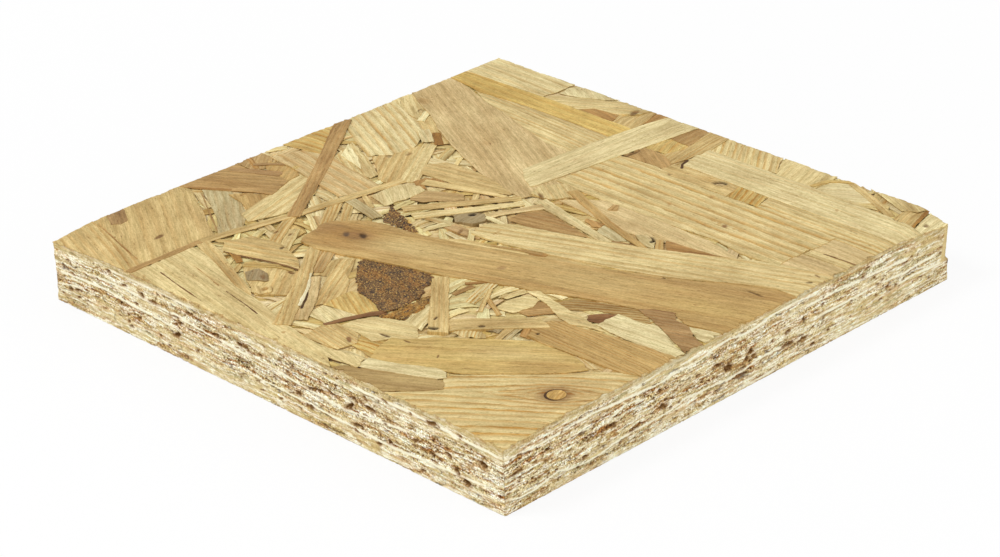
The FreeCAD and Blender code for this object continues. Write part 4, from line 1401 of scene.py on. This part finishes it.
class SawnFace:
    """Grid of one sawn face: s along it, z up it, d into it, with its tone, graininess and calm."""

    def __init__(self, side, seed, pitch, across):
        self.side, self.seed, self.pitch = side, seed, pitch
        self.pick = np.random.default_rng(seed)
        self.columns = int(round(2 * HALF / pitch)) + 1
        self.rows = int(round(THICK / pitch)) + 1
        self.along = np.linspace(-HALF, HALF, self.columns)
        rim_x, rim_y = SIDES[side](np.clip(self.along, -HALF + 0.9, HALF - 0.9), 0.9)
        self.top = rim_height(upper, rim_x, rim_y) - 0.13 - 0.12 * self.pick.random(self.columns)
        foot = THICK - rim_height(lower, rim_x, rim_y) + 0.13 + 0.12 * self.pick.random(self.columns)
        self.foot = np.clip(foot, 0.02, 0.12)
        rise = np.linspace(0, 1, self.rows)
        self.s = np.repeat(self.along[:, None], self.rows, 1)
        self.z = self.foot[:, None] + (self.top - self.foot)[:, None] * rise[None]
        self.tone, self.grainy, recess, gap = section(self.s, self.z, seed, across(self.s, self.z))
        self.streak = noise(self.s / 6, self.z / 0.32, seed + 23) - 0.5
        # the gaps are hollowed and darkened to the gap tone: partly their own colour, partly painted shade
        # in them
        self.d = recess + 0.06 * self.streak + 0.35 * gap
        self.tone = blend(self.tone, EDGE_TONES["gap"], 0.8 * gap)
        self.calm = np.zeros(self.s.shape)

    def seams(self):
        """Bright long strands seen from the side, each over a dark band that is partly a gap's own colour
        and partly painted shade under the strand.
        """
        s, z = self.s, self.z
        for path in SEAMS.get(self.side, []):
            px, pz = np.array(path, float).T
            line = np.interp(s, px, pz + THICK) + 0.25 * (fbm(s / 3, s * 0, self.seed + 24) - 0.5)
            ends = smooth(px[0] - 0.5, px[0] + 3, s) * (1 - smooth(px[-1] - 3, px[-1] + 0.5, s))
            half = 0.17 + 0.20 * noise(s / 5, pz[0] + s * 0, self.seed + 25)
            k = (1 - smooth(half * 0.8, half * 1.4, np.abs(z - line))) * ends
            self.tone = blend(self.tone, EDGE_TONES["white"], k)
            self.d = self.d - 0.12 * k
            self.grainy = self.grainy * (1 - k)
            self.calm = np.maximum(self.calm, k)
            # the dark band just below each seam: partly a gap's own colour, partly painted shade under the
            # seam
            gap = (1 - smooth(0.05, 0.2, np.abs(z - line + half * 1.9))) * ends
            gap = gap * smooth(0.5, 0.7, fbm(s / 5, z / 3, self.seed + 26))
            self.tone = blend(self.tone, EDGE_TONES["gap"], 0.6 * gap)

    def pits(self):
        """Dark hollows: those listed, then small ones at random."""
        pick = self.pick
        pits = list(PITS.get(self.side, []))
        for _ in range(110):
            ps, pz = (pick.random() * 2 - 1) * HALF, -2.5 - 13 * pick.random()
            a = 0.25 + 0.8 * pick.random() ** 2
            pits.append((ps, pz, a, 0.14 + 0.14 * pick.random(), 30 * (pick.random() - 0.5)))
        for ps, pz, a, b, turn in pits:
            a, b = 0.85 * a, 0.95 * b
            first = max(0, int((ps - 2 * a + HALF) / self.pitch) - 1)
            last = min(self.columns, int((ps + 2 * a + HALF) / self.pitch) + 2)
            near = slice(first, last)
            s, z = self.s[near], self.z[near]
            away = ellipse(s, z, ps, THICK + pz, a, b, turn)
            away = away + 0.8 * (noise(s / 0.6, z / 0.5, self.seed + 27) - 0.5)
            # the near-black core of each hollow: partly the wood's own dark colour, partly painted shade in
            # it
            self.tone[near] = blend(self.tone[near], EDGE_TONES["pit"], 1 - smooth(0.85, 1.2, away))
            halo = (1 - smooth(0.9, 2.2, away)) * 0.5
            self.tone[near] = blend(self.tone[near], EDGE_TONES["brown"], halo)
            self.d[near] += min(1.1, 2.2 * b) * (1 - smooth(0.3, 1.15, away))

    def arrises(self):
        """Broken fibres along the upper and lower edges, and the long grain of the surface strands."""
        s, z, seed = self.s, self.z, self.seed
        below, above = self.top[:, None] - z, z - self.foot[:, None]
        skin = 1 - smooth(0.9, 1.5, below + 0.6 * (noise(s / 7, 0 * s, seed + 30) - 0.5))
        tint = noise(s / 9, below / 0.5, seed + 31)
        surface = blend(linear(EDGE_TONES["grain"]), EDGE_TONES["dull"], tint)
        surface = surface * (1 + 0.25 * self.streak[..., None])
        self.tone = self.tone + (surface - self.tone) * 0.7 * skin[..., None]
        self.grainy = self.grainy * (1 - 0.7 * skin)
        self.d = self.d + 0.30 * np.clip(1 - below / 0.45, 0, 1) ** 2
        self.d = self.d + 0.08 * np.clip(1 - above / 0.45, 0, 1) ** 2
        fray = smooth(0.45, 0.75, fbm(s / 1.6, z / 1.1, seed + 28)) * (1 - smooth(0.1, 0.9, below))
        self.tone = blend(self.tone, EDGE_TONES["brown"], 0.55 * fray)

    def corners(self):
        """The torn sliver at +X -Y, and the lines that neighbouring sides share where they meet."""
        z = self.z
        high = np.clip((z - (THICK - TORN_HEIGHT)) / TORN_HEIGHT, 0, 1)
        run = TORN_LOW_RUN + (TORN_TOP_RUN - TORN_LOW_RUN) * high
        bite = TORN_LOW_BITE + (TORN_TOP_BITE - TORN_LOW_BITE) * high
        torn_zone = z > THICK - TORN_HEIGHT
        if self.side == "front":
            cut = bite * (1 - (HALF - self.s) / run)
            torn = torn_zone & (cut > 0)
            self.d = np.where(torn, np.maximum(cut, 0), self.d)
            split = noise(self.s / 0.5, z / 7, self.seed + 34)[..., None] - 0.5
            torn_tone = linear(EDGE_TONES["torn"]) * (1 + 0.35 * split)
            self.tone = np.where(torn[..., None], torn_tone, self.tone)
            self.calm = np.where(torn, 0.7, self.calm)
            self.grainy = np.where(torn, 0.0, self.grainy)
        for end in (-1, 1):
            toward = np.clip(1 - (HALF - end * self.s) / 1.6, 0, 1) ** 2
            shared = corner_recess(z, CORNERS[(self.side, end)])
            if (self.side, end) == ("front", 1):
                shared = np.where(torn_zone, bite, shared)
            self.d = self.d * (1 - toward) + shared * toward
        self.d = np.clip(self.d, 0.02, 2.2)
        self.pull_low = corner_recess(z, CORNERS[(self.side, -1)])
        if self.side == "right":
            self.pull_low = np.where(torn_zone, bite, self.pull_low)
        self.pull_high = corner_recess(z, CORNERS[(self.side, 1)])

    def points(self):
        """The sawn face, a narrow ledge under the strands at its top and foot, and the slab's back."""
        place, along, top, foot = SIDES[self.side], self.along, self.top, self.foot
        x, y = place(np.clip(self.s, -HALF + self.pull_low, HALF - self.pull_high), self.d)
        front = np.stack([x, y, self.z], -1).reshape(-1, 3)

        def line(deep, height):
            lx, ly = place(np.clip(along, -HALF + deep, HALF - deep), np.full(self.columns, deep))
            return np.c_[lx, ly, height]

        return np.concatenate([
            front, line(LEDGE, top - 0.12),
            line(SLAB_DEPTH, np.minimum(top - SLAB_DEPTH, THICK - 4.0)),
            line(SLAB_DEPTH, np.maximum(foot + SLAB_DEPTH, 4.0)),
            line(LEDGE, foot + 0.12)])

    def triangles(self):
        columns, rows = self.columns, self.rows
        grid = np.arange(columns * rows).reshape(columns, rows)
        a, b = grid[:-1, :-1].ravel(), grid[1:, :-1].ravel()
        c, e = grid[1:, 1:].ravel(), grid[:-1, 1:].ravel()
        tri = [np.c_[a, b, c], np.c_[a, c, e]]
        behind = [columns * (rows + k) + np.arange(columns) for k in range(4)]
        chains = [grid[:, -1]] + behind + [grid[:, 0]]
        for p, q in zip(chains, chains[1:]):
            tri += [np.c_[p[:-1], p[1:], q[1:]], np.c_[p[:-1], q[1:], q[:-1]]]
        for column, flip in ((0, False), (columns - 1, True)):
            loop = list(grid[column]) + [int(line[column]) for line in behind]
            fan = np.array([(loop[-1], loop[i + 1], loop[i]) for i in range(len(loop) - 2)])
            tri.append(fan[:, ::-1] if flip else fan)
        tri = np.concatenate(tri)
        return tri[:, ::-1] if self.side in ("left", "back") else tri


def sawn_edge(side, seed, pitch, across):
    """One sawn face as a closed slab, with its layers, hollows and ragged arrises."""
    face = SawnFace(side, seed, pitch, across)
    face.seams()
    face.pits()
    face.arrises()
    face.corners()
    co = face.points()
    s, z, grainy = face.s.ravel(), face.z.ravel(), face.grainy.ravel()
    extra = len(co) - s.size  # points behind the sawn face
    grain = np.c_[np.concatenate([s, np.tile(face.along, 4)]), np.concatenate([z, co[s.size:, 2]]),
                  np.full(len(co), seed * 1.7)]
    fringe = blend(linear(EDGE_TONES["grain"]), EDGE_TONES["dull"],
                   smooth(0.3, 0.7, noise(face.along / 2.2, 0 * face.along, seed + 33)))
    tone = np.concatenate([face.tone.reshape(-1, 3), np.tile(fringe, (4, 1))])
    figure = np.concatenate([np.c_[grainy, face.calm.ravel(), np.zeros(s.size)],
                             np.tile((0.5, 0.0, 0.0), (extra, 1))])
    piece = make("sawn_edge_" + side, co, face.triangles(),
                 [("grain", "FLOAT_VECTOR", grain), ("figure", "FLOAT_VECTOR", figure),
                  ("tone", "FLOAT_COLOR", rgba(tone))], None, "sawn_edge")
    fold_map(piece, face.columns, face.rows)


def fold_map(piece, columns, rows):
    """Bake map of a sawn face: its length folded into three rows, everything behind it in a corner."""
    mesh = piece.data
    layer = mesh.uv_layers.new(name="OFBake")
    count = len(mesh.loops)
    quads = (columns - 1) * (rows - 1)
    vertex = np.empty(count, np.int32)
    mesh.loops.foreach_get("vertex_index", vertex)
    uv = np.full((count, 2), 0.99)
    face = np.arange(count) // 3
    front = face < 2 * quads
    column, row = vertex // rows, vertex % rows
    first = (face % quads) // (rows - 1)
    folds = 3
    per = math.ceil((columns - 1) / folds)
    fold = first // per
    u = (column - fold * per) / per * 0.975 + 0.005
    v = (fold + 0.04 + 0.92 * row / (rows - 1)) / (folds + 0.2)
    uv[front] = np.c_[u, v][front]
    spread = np.random.default_rng(3).random((count, 2)) * 0.004
    uv[~front] += spread[~front]
    layer.uv.foreach_set("vector", uv.astype(np.float32).ravel())


def front_share(s, z):
    """End grain of the front edge: in the middle layers, more of it towards -X, and some low down."""
    core = smooth(3.5, 5.5, z) * (1 - smooth(13.0, 14.5, z))
    low_layers = 0.28 * (1 - smooth(2.0, 3.5, z)) * (1 - smooth(-10, 40, s))
    return 0.18 + core * (0.68 - 0.62 * smooth(5, 45, s)) + low_layers


def left_share(s, z):
    """End grain of the left edge: in the middle layers, more of it towards -Y."""
    core = smooth(2.5, 5, z) * (1 - smooth(12.5, 14.5, z))
    return 0.20 + core * (0.60 - 0.33 * smooth(-10, 50, s))


sawn_edge("front", 101, 0.25, front_share)
sawn_edge("left", 131, 0.25, left_share)
sawn_edge("back", 161, 0.4, lambda s, z: front_share(-s, z))
sawn_edge("right", 191, 0.4, left_share)


def rough_core(inset, pitch):
    """The inside, seen only at the bottom of gaps: a closed lumpy slab, a little way in from every face,
    whose dark colour is painted shade.
    """
    count = int(2 * (HALF - inset) / pitch) + 1
    line = np.linspace(-HALF + inset, HALF - inset, count)
    x, y = np.meshgrid(line, line, indexing="ij")
    lumps = noise(x / 1.9, y / 1.9, 81), noise(x / 1.9, y / 1.9, 82)
    upper_side = np.stack([x, y, THICK - 2.6 - 0.8 * lumps[0]], -1).reshape(-1, 3)
    lower_side = np.stack([x, y, 2.6 + 0.8 * lumps[1]], -1).reshape(-1, 3)
    grid = np.arange(count * count).reshape(count, count)
    a, b, c, d = (g.ravel() for g in (grid[:-1, :-1], grid[1:, :-1], grid[1:, 1:], grid[:-1, 1:]))
    sheet = np.concatenate([np.c_[a, b, c], np.c_[a, c, d]])
    rim = np.concatenate([grid[:, 0], grid[-1, 1:], grid[-2::-1, -1], grid[0, -2:0:-1]])
    onward = np.roll(rim, -1)
    below = count * count
    walls = [np.c_[rim, rim + below, onward + below], np.c_[rim, onward + below, onward]]
    return np.concatenate([upper_side, lower_side]), np.concatenate([sheet, sheet[:, ::-1] + below] + walls)


core_points, core_tri = rough_core(2.4, 3.0)
painted_shade_core_piece = make("inside", core_points, core_tri, [], None, "core")
for polygon in painted_shade_core_piece.data.polygons:
    polygon.use_smooth = False


# ---------------------------------------------------------------- stage, light and camera

def stage_floor():
    bpy.ops.mesh.primitive_plane_add(size=12.0, location=(0, 0, 0))
    floor = bpy.context.object
    floor.name = "floor"
    material, tree = nodes_of("floor")
    g = Graph(tree)
    where = g.new("ShaderNodeTexCoord").outputs["Object"]
    faint = g.span(g.noise(where, 3.0, 2.0, 0.5), 0.3, 0.7, 0.90, 0.92)
    diffuse = g.new("ShaderNodeBsdfDiffuse")
    g.put(diffuse.inputs["Color"], g.join(faint, faint, faint))
    glow = g.new("ShaderNodeEmission")
    glow.inputs["Color"].default_value = (1, 1, 1, 1)
    glow.inputs["Strength"].default_value = 1.0
    seen = g.new("ShaderNodeLightPath").outputs["Is Camera Ray"]
    blend = g.new("ShaderNodeMixShader")
    far = g.new("ShaderNodeVectorMath", operation="LENGTH")
    g.put(far.inputs[0], where)
    g.put(blend.inputs[0], g.math("MULTIPLY", seen, g.span(far.outputs["Value"], 0.10, 0.45, 0.88, 1.0)))
    g.put(blend.inputs[1], diffuse.outputs[0])
    g.put(blend.inputs[2], glow.outputs[0])
    out = g.new("ShaderNodeOutputMaterial")
    g.put(out.inputs["Surface"], blend.outputs[0])
    floor.data.materials.append(material)


def world():
    w = bpy.data.worlds.new("studio")
    bpy.context.scene.world = w
    w.use_nodes = True
    tree = w.node_tree
    tree.nodes.clear()
    g = Graph(tree)
    room = g.new("ShaderNodeBackground")
    room.inputs["Color"].default_value = (1.0, 1.0, 1.0, 1.0)
    room.inputs["Strength"].default_value = 0.70
    white = g.new("ShaderNodeBackground")
    white.inputs["Color"].default_value = (1.0, 1.0, 1.0, 1.0)
    white.inputs["Strength"].default_value = 1.0
    seen = g.new("ShaderNodeLightPath").outputs["Is Camera Ray"]
    blend = g.new("ShaderNodeMixShader")
    g.put(blend.inputs[0], seen)
    g.put(blend.inputs[1], room.outputs[0])
    g.put(blend.inputs[2], white.outputs[0])
    out = g.new("ShaderNodeOutputWorld")
    g.put(out.inputs["Surface"], blend.outputs[0])


def softbox(name, place, target, size, watts):
    light = bpy.data.lights.new(name, "AREA")
    light.shape = "SQUARE"
    light.size = size
    light.energy = watts
    lamp = bpy.data.objects.new(name, light)
    lamp.location = place
    lamp.rotation_euler = (Vector(target) - Vector(place)).to_track_quat("-Z", "Y").to_euler()
    bpy.context.scene.collection.objects.link(lamp)


stage_floor()
world()
softbox("key", (-0.9, 0.5, 1.3), (0, 0, 0), 0.5, 9.5)
softbox("fill_right", (0.5, -1.5, 0.5), (0, 0, 0), 1.0, 6.4)
softbox("fill_left", (-1.5, -0.5, 0.5), (0, 0, 0), 1.0, 3.0)

CAMERA_AT = Vector((-484.9, -490.9, 342.5)) * MM
CAMERA_TO = Vector((-21.4, -20.9, 17.9)) * MM
CAMERA_ROLL = -1.48  # degrees
camera_data = bpy.data.cameras.new("camera")
camera_data.sensor_width = 36.0
camera_data.lens = 109.2
camera_data.clip_start = 0.01
camera = bpy.data.objects.new("camera", camera_data)
turn = (CAMERA_TO - CAMERA_AT).to_track_quat("-Z", "Y").to_matrix().to_4x4()
roll = Matrix.Rotation(math.radians(CAMERA_ROLL), 4, "Z")
camera.matrix_world = Matrix.Translation(CAMERA_AT) @ turn @ roll
bpy.context.scene.collection.objects.link(camera)
bpy.context.scene.camera = camera
bpy.context.scene.view_settings.view_transform = "Standard"
